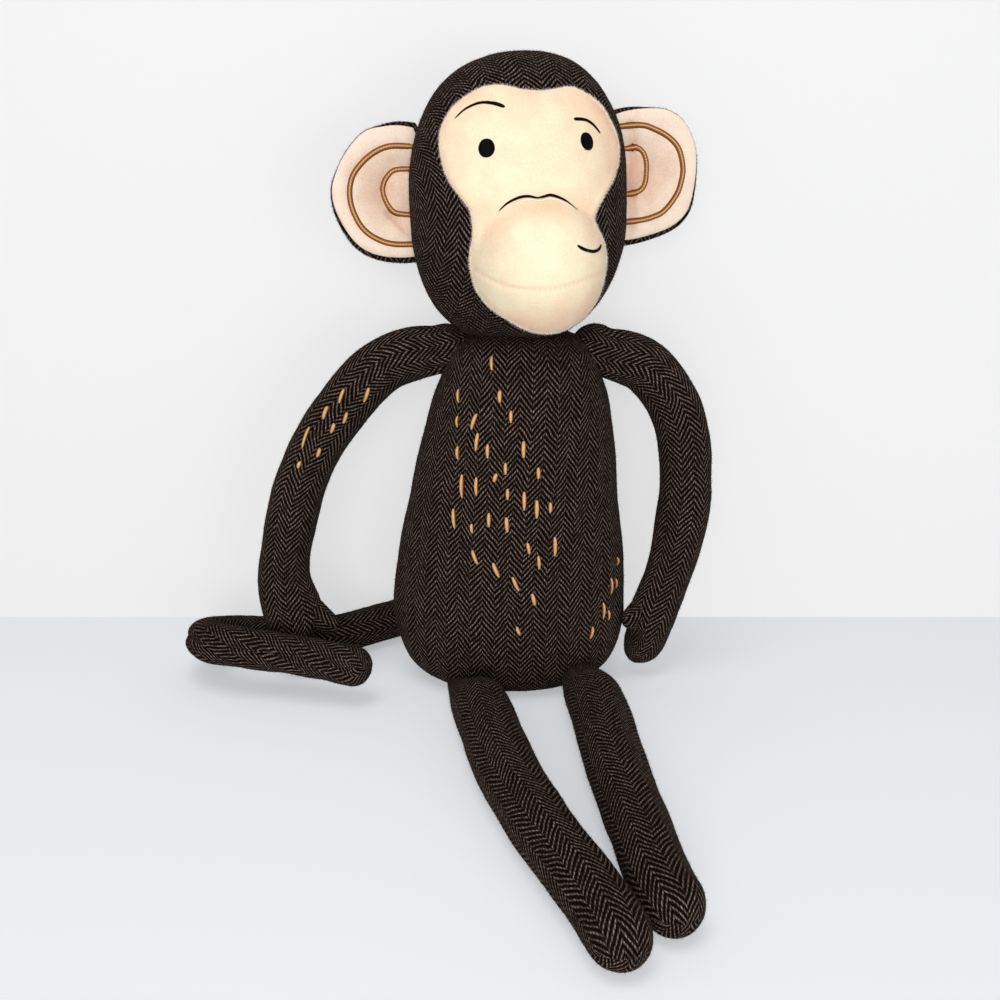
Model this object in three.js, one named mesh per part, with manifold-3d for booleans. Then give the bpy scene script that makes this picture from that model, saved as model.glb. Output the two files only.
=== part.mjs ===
// A sitting plush monkey: a stuffed tweed body, head, limbs and tail, with a velour face and ears.
// Millimetres, +Z up. The toy faces -Y, its own left is +X, and the origin is under the seat.
import * as THREE from 'three';
import { mergeVertices } from 'three/addons/utils/BufferGeometryUtils.js';
import Module from 'manifold-3d';

// Cloth thickness, and the clearance between neighbouring pieces.
const TWEED = 1.4;
const VELOUR = 1.4;
const GAP = 0.3;

// Torso: half sizes of its pear shape and the heights that they are at.
const SEAT_HALF_WIDTH = 47;
const HAUNCH_HALF_WIDTH = 67;
const HAUNCH_HEIGHT = 13;
const BELLY_HALF_WIDTH = 73.5;
const BELLY_HALF_DEPTH = 53;
const BELLY_HEIGHT = 54;
const CHEST_HALF_WIDTH = 62;
const CHEST_HEIGHT = 136;
const SHOULDER_RADIUS = 46;
const SHOULDER_DROP = 15;
const NECK_RADIUS = 30;
const NECK_DROP = 3;
const TORSO_HEIGHT = 222;
const TORSO_LEAN = 7;

// Head: a rounded skull with a muzzle, turned and tilted on the neck.
const HEAD_HALF_WIDTH = 63;
const HEAD_HALF_DEPTH = 58;
const CROWN_RISE = 81;
const JAW_DROP = 79;
const SKULL_SQUARENESS = 2.4;
const CROWN_LEAN = 3;
const HEAD_ACROSS = 4.5;
const HEAD_LIFT = 71;
const HEAD_TURN_DEGREES = 11;
const HEAD_ROLL_DEGREES = 3.8;
const MUZZLE_HALF_WIDTH = 38;
const MUZZLE_HALF_HEIGHT = 38;
const MUZZLE_HALF_LENGTH = 42;
const MUZZLE_FORWARD = 40;
const MUZZLE_DROP = 33;
const MUZZLE_BLEND = 7;

// Face patch: half widths of its outline at the brow, cheek, waist and jaw, and their heights.
const BROW_DIP_HEIGHT = 55;
const BROW_LOBE_HALF_WIDTH = 24;
const BROW_LOBE_HEIGHT = 58;
const TEMPLE_HALF_WIDTH = 42;
const TEMPLE_HEIGHT = 47;
const CHEEK_HALF_WIDTH = 49;
const CHEEK_HEIGHT = 26;
const WAIST_HALF_WIDTH = 36;
const WAIST_HEIGHT = -5;
const JAW_MARGIN = 1;
const JAW_HEIGHT = -45;
const CHIN_MARGIN = 13;
const FACE_BACK = 26;
const CHIN_SEAM_DROP = 55;
const CHIN_SEAM_TILT_DEGREES = 20;

// Features sewn on the face. The brows are drawn across and up from their eye, the nose and mouth
// from the middle of the muzzle.
const EYE_RADIUS = 4.6;
const EYE_STAND = 1.4;
const EYE_SPACING = 26.4;
const EYE_HEIGHT = 30.5;
const THREAD_RADIUS = 0.9;
const RIGHT_BROW = [[-16, 15], [-9, 21], [0, 22.5], [10.5, 19.5]];
const LEFT_BROW = [[-8.5, 11.5], [-2.5, 11.5], [3.5, 8.5], [7.5, 3.5]];
const NOSE_LINE = [[-22, 31], [-16.5, 35.5], [-8.5, 38.5], [-2.5, 37.5], [4.5, 38.5], [12.5, 35], [18.5, 30]];
const MOUTH_LINE = [[14, 11], [19, 7], [25, 7], [30, 10.5]];

// Ears: a D outline on the side of the head, a velour front on a tweed back, and two sewn rings.
const EAR_OUT = 44;
const EAR_HALF_HEIGHT = 37;
const EAR_ROUND_WIDTH = 30;
const EAR_ROOT_HALF_HEIGHT = 25;
const EAR_ROOT_ROUND = 0.3;
const EAR_FRONT = 2.8;
const EAR_BACK = 2.8;
const EAR_RIM = 1.6;
const EAR_HEIGHT = 9;
const EAR_BEHIND = 7;
const EAR_CUP_DEGREES = 5;
const RING_WIDTH = 2.6;
const RING_STAND = 1;
const RING_START = 4;
const LEFT_RINGS_RISE = 3;
const OUTER_RING_OUT = 36;
const OUTER_RING_HALF_HEIGHT = 29.5;
const INNER_RING_OUT = 18;
const INNER_RING_HALF_HEIGHT = 14.5;

// Limb roots: a ball in a socket of the torso, drawn in to a neck.
const ARM_BALL = 15.5;
const ARM_NECK = 12;
const LEG_BALL = 15;
const LEG_NECK = 11;
const TAIL_BALL = 13;
const TAIL_NECK = 9.5;
const ROOT_MOUTH = 6;
const SWELLING_SHARE = 0.4;

// Arms: radii, the flattened hand and its thumb.
const ARM_ROOT_DROP = 13;
const ARM_RADIUS = 16;
const HAND_HALF_WIDTH = 15.5;
const HAND_HALF_THICKNESS = 12;
const HAND_LENGTH = 52;
const HAND_FORWARD = 8;
const THUMB_RADIUS = 7;
const THUMB_LENGTH = 18;
const THUMB_FROM_TIP = 44;
const LEFT_HAND_TURN_DEGREES = 55;

// Routes of the arms: out from the belly's side, and height as a share of the shoulder joint's.
const RIGHT_ARM_ROUTE = [[-2, 0.965], [32, 0.81], [55, 0.61], [66, 0.42], [69, 0.265], [58, 0.015]];
const LEFT_ARM_ROUTE = [[8, 0.95], [29, 0.805], [35.5, 0.61], [31.5, 0.42], [21, 0.225], [7, 0.04]];

// Legs: radii, hips, and the routes as places across and forward of the hip.
const THIGH_RADIUS = 16.5;
const FOOT_RADIUS = 14;
const LEG_FLAT = 0.5;
const RIGHT_HIP = -26;
const LEFT_HIP = 43;
const LEG_ROUTE = [44, 109, 161, 212];
const LEG_TIP = 247;
const RIGHT_LEG_ACROSS = [10, 24, 41, 61.5, 73];
const LEFT_LEG_ACROSS = [7, 11, 15.5, 21];
const LEFT_LEG_SHORTER = 16;
const FEET_OVERLAP = 4;

// Tail: radii and a flat loop that lies round the right hand.
const TAIL_RADIUS = 14;
const TAIL_TIP_RADIUS = 12.5;
const TAIL_ROOT_ACROSS = -20;
const TAIL_ROOT_HEIGHT = 20;
const TAIL_BEHIND = 20;
const TAIL_CLEAR = 2.6;
const TAIL_LIFT = 15;

// Route of the tail from the belly's side: out from it, how far behind the hand as a share of the
// loop's half depth, and the share of the lift.
const TAIL_ROUTE = [
  [6, 2, 0],
  [39, 1.18, 0],
  [72, 1, 0],
  [105, 1, 0.3],
  [119, 0.55, 0.6],
  [121, 0, 0.8],
  [112, -0.65, 1],
  [87, -1, 1],
  [70, -1.07, 1],
  [43, -1.28, 0.85],
  [10, -1.6, 0.7],
];

// Steps of the round forms.
const LIMB_SIDES = 10;
const ARM_RINGS = 10;
const LEG_RINGS = 8;
const TAIL_RINGS = 21;
const BALL_SIDES = 12;
const TORSO_SIDES = 18;
const TORSO_RINGS = 12;
const HEAD_SIDES = 22;
const HEAD_RINGS = 14;
const FACE_STEPS = 16;
const EAR_STEPS = 8;

const COLOURS = {
  tweed: 0x3b2f29,
  velour: 0xf3d9bd,
  blush: 0xe6c2ad,
  black: 0x15120f,
  caramel: 0xb9762f,
  fibre: 0xf2f0ea,
};

const wasm = await Module();
wasm.setup();
const { degToRad, lerp, smoothstep } = THREE.MathUtils;

// Merges shared vertices and drops the collapsed triangles at poles.
function weld(geometry) {
  geometry.deleteAttribute('normal');
  geometry.deleteAttribute('uv');
  const welded = mergeVertices(geometry, 1e-3);
  const corners = welded.index.array;
  const kept = [];
  for (let i = 0; i < corners.length; i += 3) {
    const [a, b, c] = corners.slice(i, i + 3);
    if (a !== b && b !== c && c !== a) kept.push(a, b, c);
  }
  welded.setIndex(kept);
  return welded;
}

// The same form moved out along its normals by a distance, or in where that is negative.
function swell(form, distance) {
  const grown = form.clone();
  grown.computeVertexNormals();
  const { position, normal } = grown.attributes;
  const point = new THREE.Vector3();
  const push = new THREE.Vector3();
  for (let i = 0; i < position.count; i += 1) {
    push.fromBufferAttribute(normal, i).multiplyScalar(distance);
    point.fromBufferAttribute(position, i).add(push);
    position.setXYZ(i, point.x, point.y, point.z);
  }
  grown.deleteAttribute('normal');
  return grown;
}

// A closed solid for joins and cuts.
function solid(form) {
  const welded = weld(form.clone());
  const vertProperties = Float32Array.from(welded.attributes.position.array);
  const triVerts = Uint32Array.from(welded.index.array);
  return new wasm.Manifold(new wasm.Mesh({ numProp: 3, vertProperties, triVerts }));
}

// A named piece of the toy, with a material of its own.
function piece(name, body, finish, roughness = 0.95) {
  const { vertProperties, triVerts } = body.getMesh();
  const geometry = new THREE.BufferGeometry();
  geometry.setAttribute('position', new THREE.BufferAttribute(vertProperties, 3));
  geometry.setIndex(new THREE.BufferAttribute(triVerts, 1));
  geometry.computeVertexNormals();
  const material = new THREE.MeshStandardMaterial({
    color: COLOURS[finish],
    roughness,
    metalness: 0,
  });
  const mesh = new THREE.Mesh(geometry, material);
  mesh.name = name;
  return mesh;
}

function ball(radius, centre, sides = BALL_SIDES) {
  const form = new THREE.SphereGeometry(radius, sides, sides / 2);
  return form.translate(centre.x, centre.y, centre.z);
}

// Torso: a lathe turned about the vertical, flattened front to back and leaning at the shoulders.
const shoulderHeight = TORSO_HEIGHT - SHOULDER_DROP;
const torsoOutline = new THREE.SplineCurve([
  new THREE.Vector2(SEAT_HALF_WIDTH, 0),
  new THREE.Vector2(HAUNCH_HALF_WIDTH, HAUNCH_HEIGHT),
  new THREE.Vector2(BELLY_HALF_WIDTH, BELLY_HEIGHT),
  new THREE.Vector2(CHEST_HALF_WIDTH, CHEST_HEIGHT),
  new THREE.Vector2(SHOULDER_RADIUS, shoulderHeight),
  new THREE.Vector2(NECK_RADIUS, TORSO_HEIGHT - NECK_DROP),
  new THREE.Vector2(0, TORSO_HEIGHT),
]).getSpacedPoints(TORSO_RINGS);

function torsoFlatness(height) {
  const upper = smoothstep(height, BELLY_HEIGHT, shoulderHeight);
  return lerp(BELLY_HALF_DEPTH / BELLY_HALF_WIDTH, 1, upper);
}

function torsoLean(height) {
  return TORSO_LEAN * smoothstep(height, BELLY_HEIGHT, shoulderHeight);
}

function torsoHalfWidth(height) {
  const above = torsoOutline.findIndex((point) => point.y > height);
  const low = torsoOutline[above - 1];
  const high = torsoOutline[above];
  return lerp(low.x, high.x, (height - low.y) / (high.y - low.y));
}

// Distance of the torso's surface in front of the axis, or behind it, at a place across.
function torsoReach(across, height) {
  const width = torsoHalfWidth(height);
  const share = (across - torsoLean(height)) / width;
  return width * torsoFlatness(height) * Math.sqrt(1 - share * share);
}

function makeTorso() {
  const form = new THREE.LatheGeometry([new THREE.Vector2(0, 0), ...torsoOutline], TORSO_SIDES);
  form.rotateX(Math.PI / 2);
  const { position } = form.attributes;
  for (let i = 0; i < position.count; i += 1) {
    const height = position.getZ(i);
    position.setX(i, position.getX(i) + torsoLean(height));
    position.setY(i, position.getY(i) * torsoFlatness(height));
  }
  return weld(form);
}

// A limb: a lathe of its outline, bent along its route. The route starts at the joint's centre.
function limbOutline({ root, neck, swelling, tip, length, rings }) {
  const outline = [];
  const neckAngle = Math.acos(neck / root);
  for (let k = 0; k <= 4; k += 1) {
    const angle = lerp(-Math.PI / 2, neckAngle, k / 4);
    outline.push(new THREE.Vector2(root * Math.cos(angle), root * Math.sin(angle)));
  }
  outline[0].x = 0;
  const shaftStart = root * Math.sin(neckAngle);
  const shaft = new THREE.SplineCurve([
    new THREE.Vector2(neck, shaftStart),
    new THREE.Vector2(swelling, shaftStart + root),
    new THREE.Vector2(swelling, lerp(shaftStart, length, SWELLING_SHARE)),
    new THREE.Vector2(tip, length - tip),
  ]);
  outline.push(...shaft.getSpacedPoints(rings).slice(1));
  for (let k = 1; k <= 3; k += 1) {
    const angle = lerp(0, Math.PI / 2, k / 3);
    const radius = k < 3 ? tip * Math.cos(angle) : 0;
    outline.push(new THREE.Vector2(radius, length - tip + tip * Math.sin(angle)));
  }
  return outline;
}

// Bends a lathe along a route, with its depth held along up. The end may be flattened along up.
function bendAlong(outline, route, up, flatten = () => 1) {
  const form = new THREE.LatheGeometry(outline, LIMB_SIDES);
  const { position } = form.attributes;
  const length = route.getLength();
  const vertex = new THREE.Vector3();
  for (let i = 0; i < position.count; i += 1) {
    vertex.fromBufferAttribute(position, i);
    const share = THREE.MathUtils.clamp(vertex.y / length, 0, 1);
    const along = route.getTangentAt(share);
    const across = new THREE.Vector3().crossVectors(along, up).normalize();
    const depth = new THREE.Vector3().crossVectors(across, along);
    const centre = route.getPointAt(share).addScaledVector(along, Math.min(vertex.y, 0));
    centre.addScaledVector(across, vertex.x);
    centre.addScaledVector(depth, vertex.z * flatten(vertex.y));
    position.setXYZ(i, centre.x, centre.y, centre.z);
  }
  return weld(form);
}

// The cover of a stuffed piece is a shell, open at the root where the filling goes in.
function coverAndFilling(forms, mouth) {
  const grown = (distance) => {
    const bodies = forms.map((form) => solid(swell(form, distance)));
    return bodies.reduce((sum, body) => sum.add(body));
  };
  const cover = grown(0).subtract(grown(-TWEED)).subtract(solid(mouth));
  return { cover, filling: grown(-TWEED - GAP) };
}

const toy = new THREE.Group();
const torsoForm = makeTorso();

// Arms: the route runs out from the shoulder and down to the hand.
function shoulder(side) {
  const height = TORSO_HEIGHT - ARM_ROOT_DROP;
  return new THREE.Vector3(TORSO_LEAN + side * torsoHalfWidth(height), 0, height);
}

function armRoute(side, places) {
  const start = shoulder(side);
  const points = places.map(([out, share], index) => {
    const forward = HAND_FORWARD * smoothstep(index, 0, places.length - 1);
    return new THREE.Vector3(side * (BELLY_HALF_WIDTH + out), -forward, share * start.z);
  });
  return new THREE.CatmullRomCurve3([start, ...points]);
}

function armForms(side, places, handTurn) {
  const route = armRoute(side, places);
  const length = route.getLength();
  const outline = limbOutline({
    root: ARM_BALL,
    neck: ARM_NECK,
    swelling: ARM_RADIUS,
    tip: HAND_HALF_WIDTH,
    length,
    rings: ARM_RINGS,
  });
  const depth = new THREE.Vector3(0, -1, 0);
  depth.applyAxisAngle(new THREE.Vector3(0, 0, 1), side * degToRad(handTurn));
  const thin = HAND_HALF_THICKNESS / HAND_HALF_WIDTH;
  const flatten = (place) => lerp(1, thin, smoothstep(place, length - 2 * HAND_LENGTH, length - HAND_LENGTH));
  const arm = bendAlong(outline, route, depth, flatten);

  const share = 1 - THUMB_FROM_TIP / length;
  const along = route.getTangentAt(share);
  const inward = new THREE.Vector3().crossVectors(along, depth).multiplyScalar(side);
  const reach = along.clone().add(inward).normalize();
  const thumb = new THREE.CapsuleGeometry(THUMB_RADIUS, THUMB_LENGTH, 3, LIMB_SIDES - 2, 1);
  thumb.translate(0, THUMB_LENGTH / 2, 0);
  thumb.applyQuaternion(new THREE.Quaternion().setFromUnitVectors(new THREE.Vector3(0, 1, 0), reach));
  const seat = route.getPointAt(share).addScaledVector(inward, THUMB_RADIUS / 2);
  thumb.translate(seat.x, seat.y, seat.z);
  return [arm, weld(thumb)];
}

// Legs: they lie on the floor in front of the seat, cut flat where they touch it.
function hip(across) {
  const height = THIGH_RADIUS - LEG_FLAT;
  return new THREE.Vector3(across, -torsoReach(across, height), height);
}

function legForm(route) {
  const outline = limbOutline({
    root: LEG_BALL,
    neck: LEG_NECK,
    swelling: THIGH_RADIUS,
    tip: FOOT_RADIUS,
    length: route.getLength(),
    rings: LEG_RINGS,
  });
  return bendAlong(outline, route, new THREE.Vector3(0, 0, 1));
}

function legRoutes() {
  const lying = (start, across, forward, share) => {
    const height = lerp(start.z, FOOT_RADIUS - LEG_FLAT, share);
    return new THREE.Vector3(start.x + across, start.y - forward, height);
  };
  const rightHip = hip(RIGHT_HIP);
  const leftHip = hip(LEFT_HIP);
  const forward = [...LEG_ROUTE, LEG_TIP];
  const right = forward.map((place, i) => lying(rightHip, RIGHT_LEG_ACROSS[i], place, (i + 1) / forward.length));
  const rightFoot = right[right.length - 1];
  const left = LEG_ROUTE.map((place, i) => lying(leftHip, LEFT_LEG_ACROSS[i], place, (i + 1) / forward.length));
  left.push(new THREE.Vector3(
    rightFoot.x + 2 * FOOT_RADIUS - FEET_OVERLAP,
    leftHip.y - LEG_TIP + LEFT_LEG_SHORTER,
    FOOT_RADIUS - LEG_FLAT,
  ));
  return {
    right: new THREE.CatmullRomCurve3([rightHip, ...right]),
    left: new THREE.CatmullRomCurve3([leftHip, ...left]),
  };
}

// Tail: out of the back, along behind the right hand, round it and forward in front of it.
function tailRoute() {
  const apart = HAND_HALF_THICKNESS + TAIL_CLEAR + TAIL_RADIUS;
  const back = torsoReach(TAIL_ROOT_ACROSS, TAIL_ROOT_HEIGHT);
  const leaving = new THREE.Vector3(TAIL_ROOT_ACROSS - TAIL_RADIUS / 2, back + TAIL_BEHIND, TAIL_ROOT_HEIGHT);
  const turned = new THREE.Vector3(TAIL_ROOT_ACROSS - 2 * TAIL_RADIUS, back + TAIL_BEHIND, TAIL_RADIUS);
  const loop = TAIL_ROUTE.map(([out, behind, lift]) => new THREE.Vector3(
    -(BELLY_HALF_WIDTH + out),
    behind * apart - HAND_FORWARD,
    TAIL_RADIUS + TAIL_LIFT * lift,
  ));
  const root = new THREE.Vector3(TAIL_ROOT_ACROSS, back, TAIL_ROOT_HEIGHT);
  return new THREE.CatmullRomCurve3([root, leaving, turned, ...loop]);
}

function tailForm(route) {
  const outline = limbOutline({
    root: TAIL_BALL,
    neck: TAIL_NECK,
    swelling: TAIL_RADIUS,
    tip: TAIL_TIP_RADIUS,
    length: route.getLength(),
    rings: TAIL_RINGS,
  });
  return bendAlong(outline, route, new THREE.Vector3(0, 0, 1));
}

const tail = tailRoute();
const legs = legRoutes();
const floorSize = 2 * (TORSO_HEIGHT + LEG_TIP);
const floorCut = solid(new THREE.BoxGeometry(floorSize, floorSize, floorSize).translate(0, 0, -floorSize / 2));

const limbs = [
  { name: 'right_arm', forms: armForms(-1, RIGHT_ARM_ROUTE, 0), centre: shoulder(-1), root: ARM_BALL },
  { name: 'left_arm', forms: armForms(1, LEFT_ARM_ROUTE, LEFT_HAND_TURN_DEGREES), centre: shoulder(1), root: ARM_BALL },
  { name: 'right_leg', forms: [legForm(legs.right)], centre: legs.right.getPoint(0), root: LEG_BALL },
  { name: 'left_leg', forms: [legForm(legs.left)], centre: legs.left.getPoint(0), root: LEG_BALL },
  { name: 'tail', forms: [tailForm(tail)], centre: tail.getPoint(0), root: TAIL_BALL },
];

// The torso's cover and filling have a round socket for the root of each limb. The socket's flat
// facets stay clear of the root's ball.
const socketFacet = Math.cos(Math.PI / BALL_SIDES) ** 2;
let torsoCover = solid(torsoForm).subtract(solid(swell(torsoForm, -TWEED)));
let torsoFilling = solid(swell(torsoForm, -TWEED - GAP));
for (const { centre, root } of limbs) {
  const socket = solid(ball((root + GAP) / socketFacet, centre));
  torsoCover = torsoCover.subtract(socket);
  torsoFilling = torsoFilling.subtract(socket);
}
toy.add(piece('torso_cover', torsoCover, 'tweed'));
toy.add(piece('torso_stuffing', torsoFilling, 'fibre'));

for (const { name, forms, centre, root } of limbs) {
  const rootEnd = forms[0].attributes.position;
  const pole = new THREE.Vector3().fromBufferAttribute(rootEnd, 0);
  const mouth = ball(ROOT_MOUTH, pole.lerp(centre, 0.1), 8);
  const { cover, filling } = coverAndFilling(forms, mouth);
  toy.add(piece(`${name}_cover`, cover.subtract(floorCut), 'tweed'));
  toy.add(piece(`${name}_stuffing`, filling, 'fibre'));
}

// Head: the skull and the muzzle, as the distance from the head's middle in any direction.
function headReach(direction) {
  const leaning = direction.x - (CROWN_LEAN / CROWN_RISE) * direction.z;
  const sideways = Math.hypot(leaning / HEAD_HALF_WIDTH, direction.y / HEAD_HALF_DEPTH);
  const upward = Math.abs(direction.z) / (direction.z > 0 ? CROWN_RISE : JAW_DROP);
  const squared = sideways ** SKULL_SQUARENESS + upward ** SKULL_SQUARENESS;
  const skull = squared ** (-1 / SKULL_SQUARENESS);

  const scale = new THREE.Vector3(1 / MUZZLE_HALF_WIDTH, 1 / MUZZLE_HALF_LENGTH, 1 / MUZZLE_HALF_HEIGHT);
  const ray = direction.clone().multiply(scale);
  const middle = new THREE.Vector3(0, -MUZZLE_FORWARD, -MUZZLE_DROP).multiply(scale);
  const along = ray.dot(middle) / ray.lengthSq();
  const left = along * along - (middle.lengthSq() - 1) / ray.lengthSq();
  const muzzle = left > 0 ? along + Math.sqrt(left) : 0;
  const step = Math.max(MUZZLE_BLEND - Math.abs(skull - muzzle), 0) / MUZZLE_BLEND;
  return Math.max(skull, muzzle) + (step * step * MUZZLE_BLEND) / 4;
}

function makeHead() {
  const form = new THREE.SphereGeometry(1, HEAD_SIDES, HEAD_RINGS);
  form.rotateX(Math.PI / 2);
  const { position } = form.attributes;
  const direction = new THREE.Vector3();
  for (let i = 0; i < position.count; i += 1) {
    direction.fromBufferAttribute(position, i).normalize();
    direction.multiplyScalar(headReach(direction));
    position.setXYZ(i, direction.x, direction.y, direction.z);
  }
  return weld(form);
}

const head = new THREE.Group();
head.position.set(HEAD_ACROSS, 0, TORSO_HEIGHT + HEAD_LIFT);
head.rotation.set(0, -degToRad(HEAD_ROLL_DEGREES), degToRad(HEAD_TURN_DEGREES), 'ZYX');
head.updateMatrix();
toy.add(head);

const headForm = makeHead();

// The front of the head at a place across and up from its middle.
const headFront = new THREE.Mesh(headForm);
const forwardOfFace = 2 * (MUZZLE_FORWARD + MUZZLE_HALF_LENGTH);

function facePoint(across, height) {
  const start = new THREE.Vector3(across, -forwardOfFace, height);
  const ray = new THREE.Raycaster(start, new THREE.Vector3(0, 1, 0));
  return ray.intersectObject(headFront)[0].point;
}

const chinDepth = MUZZLE_DROP + MUZZLE_HALF_HEIGHT + CHIN_MARGIN;

// The face patch is one outline, mirrored about the middle: a dip between two brow lobes,
// full cheeks, a waist under them, and the muzzle down to a round chin.
function faceOutline(grow) {
  const half = new THREE.SplineCurve([
    new THREE.Vector2(0, BROW_DIP_HEIGHT + grow),
    new THREE.Vector2(BROW_LOBE_HALF_WIDTH, BROW_LOBE_HEIGHT + grow),
    new THREE.Vector2(TEMPLE_HALF_WIDTH + grow, TEMPLE_HEIGHT + grow),
    new THREE.Vector2(CHEEK_HALF_WIDTH + grow, CHEEK_HEIGHT),
    new THREE.Vector2(WAIST_HALF_WIDTH + grow, WAIST_HEIGHT),
    new THREE.Vector2(MUZZLE_HALF_WIDTH + JAW_MARGIN + grow, JAW_HEIGHT),
    new THREE.Vector2(0, -chinDepth - grow),
  ]).getSpacedPoints(FACE_STEPS);
  const mirrored = half.slice(1, -1).reverse().map((point) => new THREE.Vector2(-point.x, point.y));
  return new THREE.Shape([...half, ...mirrored]);
}

// A block of the given outline that runs forward from the head's front half.
function faceBlock(grow) {
  const form = new THREE.ExtrudeGeometry(faceOutline(grow), { depth: forwardOfFace, bevelEnabled: false });
  return form.rotateX(Math.PI / 2).translate(0, -FACE_BACK + grow, 0);
}

// Everything under the chin seam, which dips towards the front of the chin.
function underChin(lower) {
  const size = 4 * chinDepth;
  const block = new THREE.BoxGeometry(size, size, size);
  block.translate(0, 0, -size / 2 - lower);
  block.rotateX(degToRad(CHIN_SEAM_TILT_DEGREES));
  return block.translate(0, -MUZZLE_FORWARD, -CHIN_SEAM_DROP);
}

// The head rests on the torso, and turns about the torso's upright there.
const toHead = head.matrix.clone().invert();
const neckRound = 1 / Math.cos(Math.PI / TORSO_SIDES);
const neckForm = swell(torsoForm, GAP).translate(-TORSO_LEAN, 0, 0).scale(neckRound, neckRound, 1);
const neckSeat = solid(neckForm.translate(TORSO_LEAN, 0, 0).applyMatrix4(toHead));
const headOuter = solid(headForm);

// Ears: each in a group of its own, on a hinge line along the side of the head.
function earOutline(grow) {
  const shape = new THREE.Shape();
  const middle = EAR_OUT - EAR_ROUND_WIDTH;
  shape.moveTo(0, -EAR_ROOT_HALF_HEIGHT - grow);
  const start = new THREE.Vector2(middle, -EAR_HALF_HEIGHT - grow);
  shape.quadraticCurveTo(middle * EAR_ROOT_ROUND, start.y, start.x, start.y);
  shape.absellipse(middle, 0, EAR_ROUND_WIDTH + grow, EAR_HALF_HEIGHT + grow, -Math.PI / 2, Math.PI / 2);
  shape.quadraticCurveTo(middle * EAR_ROOT_ROUND, -start.y, 0, EAR_ROOT_HALF_HEIGHT + grow);
  return shape;
}

// A flat sewn ring that starts and ends near the root of the ear.
function earRing(out, halfHeight) {
  const round = Math.min(halfHeight, out - RING_START - GAP);
  const middle = out - round;
  const shape = new THREE.Shape();
  shape.moveTo(RING_START, -halfHeight);
  shape.lineTo(middle, -halfHeight);
  shape.absellipse(middle, 0, round, halfHeight, -Math.PI / 2, Math.PI / 2);
  shape.lineTo(RING_START, halfHeight);
  shape.lineTo(RING_START, halfHeight - RING_WIDTH);
  shape.lineTo(middle, halfHeight - RING_WIDTH);
  shape.absellipse(middle, 0, round - RING_WIDTH, halfHeight - RING_WIDTH, Math.PI / 2, -Math.PI / 2, true);
  shape.lineTo(RING_START, RING_WIDTH - halfHeight);
  return shape;
}

// A plate in the ear's plane, from one distance in front of the hinge line to another.
function earPlate(shape, front, thickness, side) {
  const form = new THREE.ExtrudeGeometry(shape, { depth: thickness, bevelEnabled: false, curveSegments: EAR_STEPS });
  form.rotateX(Math.PI / 2).translate(0, front + thickness, 0);
  if (side < 0) form.rotateY(Math.PI);
  return form;
}

const earThickness = EAR_FRONT + GAP + EAR_BACK;
const earGroove = [];

function addEar(name, side, ringsRise) {
  const ear = new THREE.Group();
  const root = HEAD_HALF_WIDTH * Math.sqrt(1 - (EAR_BEHIND / HEAD_HALF_DEPTH) ** 2);
  ear.position.set(side * root, EAR_BEHIND, EAR_HEIGHT);
  ear.rotation.set(0, Math.atan(CROWN_LEAN / CROWN_RISE), -side * degToRad(EAR_CUP_DEGREES), 'ZYX');
  ear.updateMatrix();
  const front = -earThickness / 2;
  const sewn = front - GAP - RING_STAND;
  const layers = [
    ['front', earOutline(0), front, EAR_FRONT, 'blush'],
    ['back', earOutline(EAR_RIM), front + EAR_FRONT + GAP, EAR_BACK, 'tweed'],
    ['outer_ring', earRing(OUTER_RING_OUT, OUTER_RING_HALF_HEIGHT), sewn, RING_STAND, 'caramel'],
    ['inner_ring', earRing(INNER_RING_OUT, INNER_RING_HALF_HEIGHT), sewn, RING_STAND, 'caramel'],
  ];
  for (const [layer, shape, start, thickness, finish] of layers) {
    const plate = earPlate(shape, start, thickness, side);
    if (finish === 'caramel') plate.translate(0, 0, ringsRise);
    ear.add(piece(`${name}_ear_${layer}`, solid(plate), finish));
  }
  head.add(ear);
  const reach = (earThickness / 2 + GAP) / Math.cos(Math.PI / BALL_SIDES);
  const length = 2 * (EAR_HALF_HEIGHT + EAR_RIM + GAP);
  const groove = new THREE.CylinderGeometry(reach, reach, length, BALL_SIDES);
  earGroove.push(solid(groove.rotateX(Math.PI / 2).applyMatrix4(ear.matrix)));
}

addEar('right', -1, 0);
addEar('left', 1, LEFT_RINGS_RISE);

let headShell = headOuter.subtract(solid(swell(headForm, -TWEED))).subtract(neckSeat);
let headFilling = solid(swell(headForm, -Math.max(TWEED, VELOUR) - GAP)).subtract(neckSeat);
for (const groove of earGroove) {
  headShell = headShell.subtract(groove);
  headFilling = headFilling.subtract(groove);
}
const faceShell = headOuter.subtract(solid(swell(headForm, -VELOUR)));
const facePatch = faceShell.subtract(neckSeat).intersect(solid(faceBlock(0)));
head.add(piece('head_cover', headShell.subtract(solid(faceBlock(GAP))), 'tweed'));
head.add(piece('head_stuffing', headFilling, 'fibre'));
head.add(piece('face_panel', facePatch.subtract(solid(underChin(-GAP / 2))), 'velour'));
head.add(piece('chin_panel', facePatch.intersect(solid(underChin(GAP / 2))), 'velour'));

// Sewn features rest on the face with the usual gap.
const faceSurface = solid(swell(headForm, GAP));

for (const [name, side] of [['right_eye', -1], ['left_eye', 1]]) {
  const seat = facePoint(side * EYE_SPACING, EYE_HEIGHT);
  const dot = ball(EYE_RADIUS, seat, 16);
  const lens = solid(dot).intersect(solid(swell(headForm, GAP + EYE_STAND)));
  head.add(piece(name, lens.subtract(faceSurface), 'black', 0.6));
}

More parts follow.
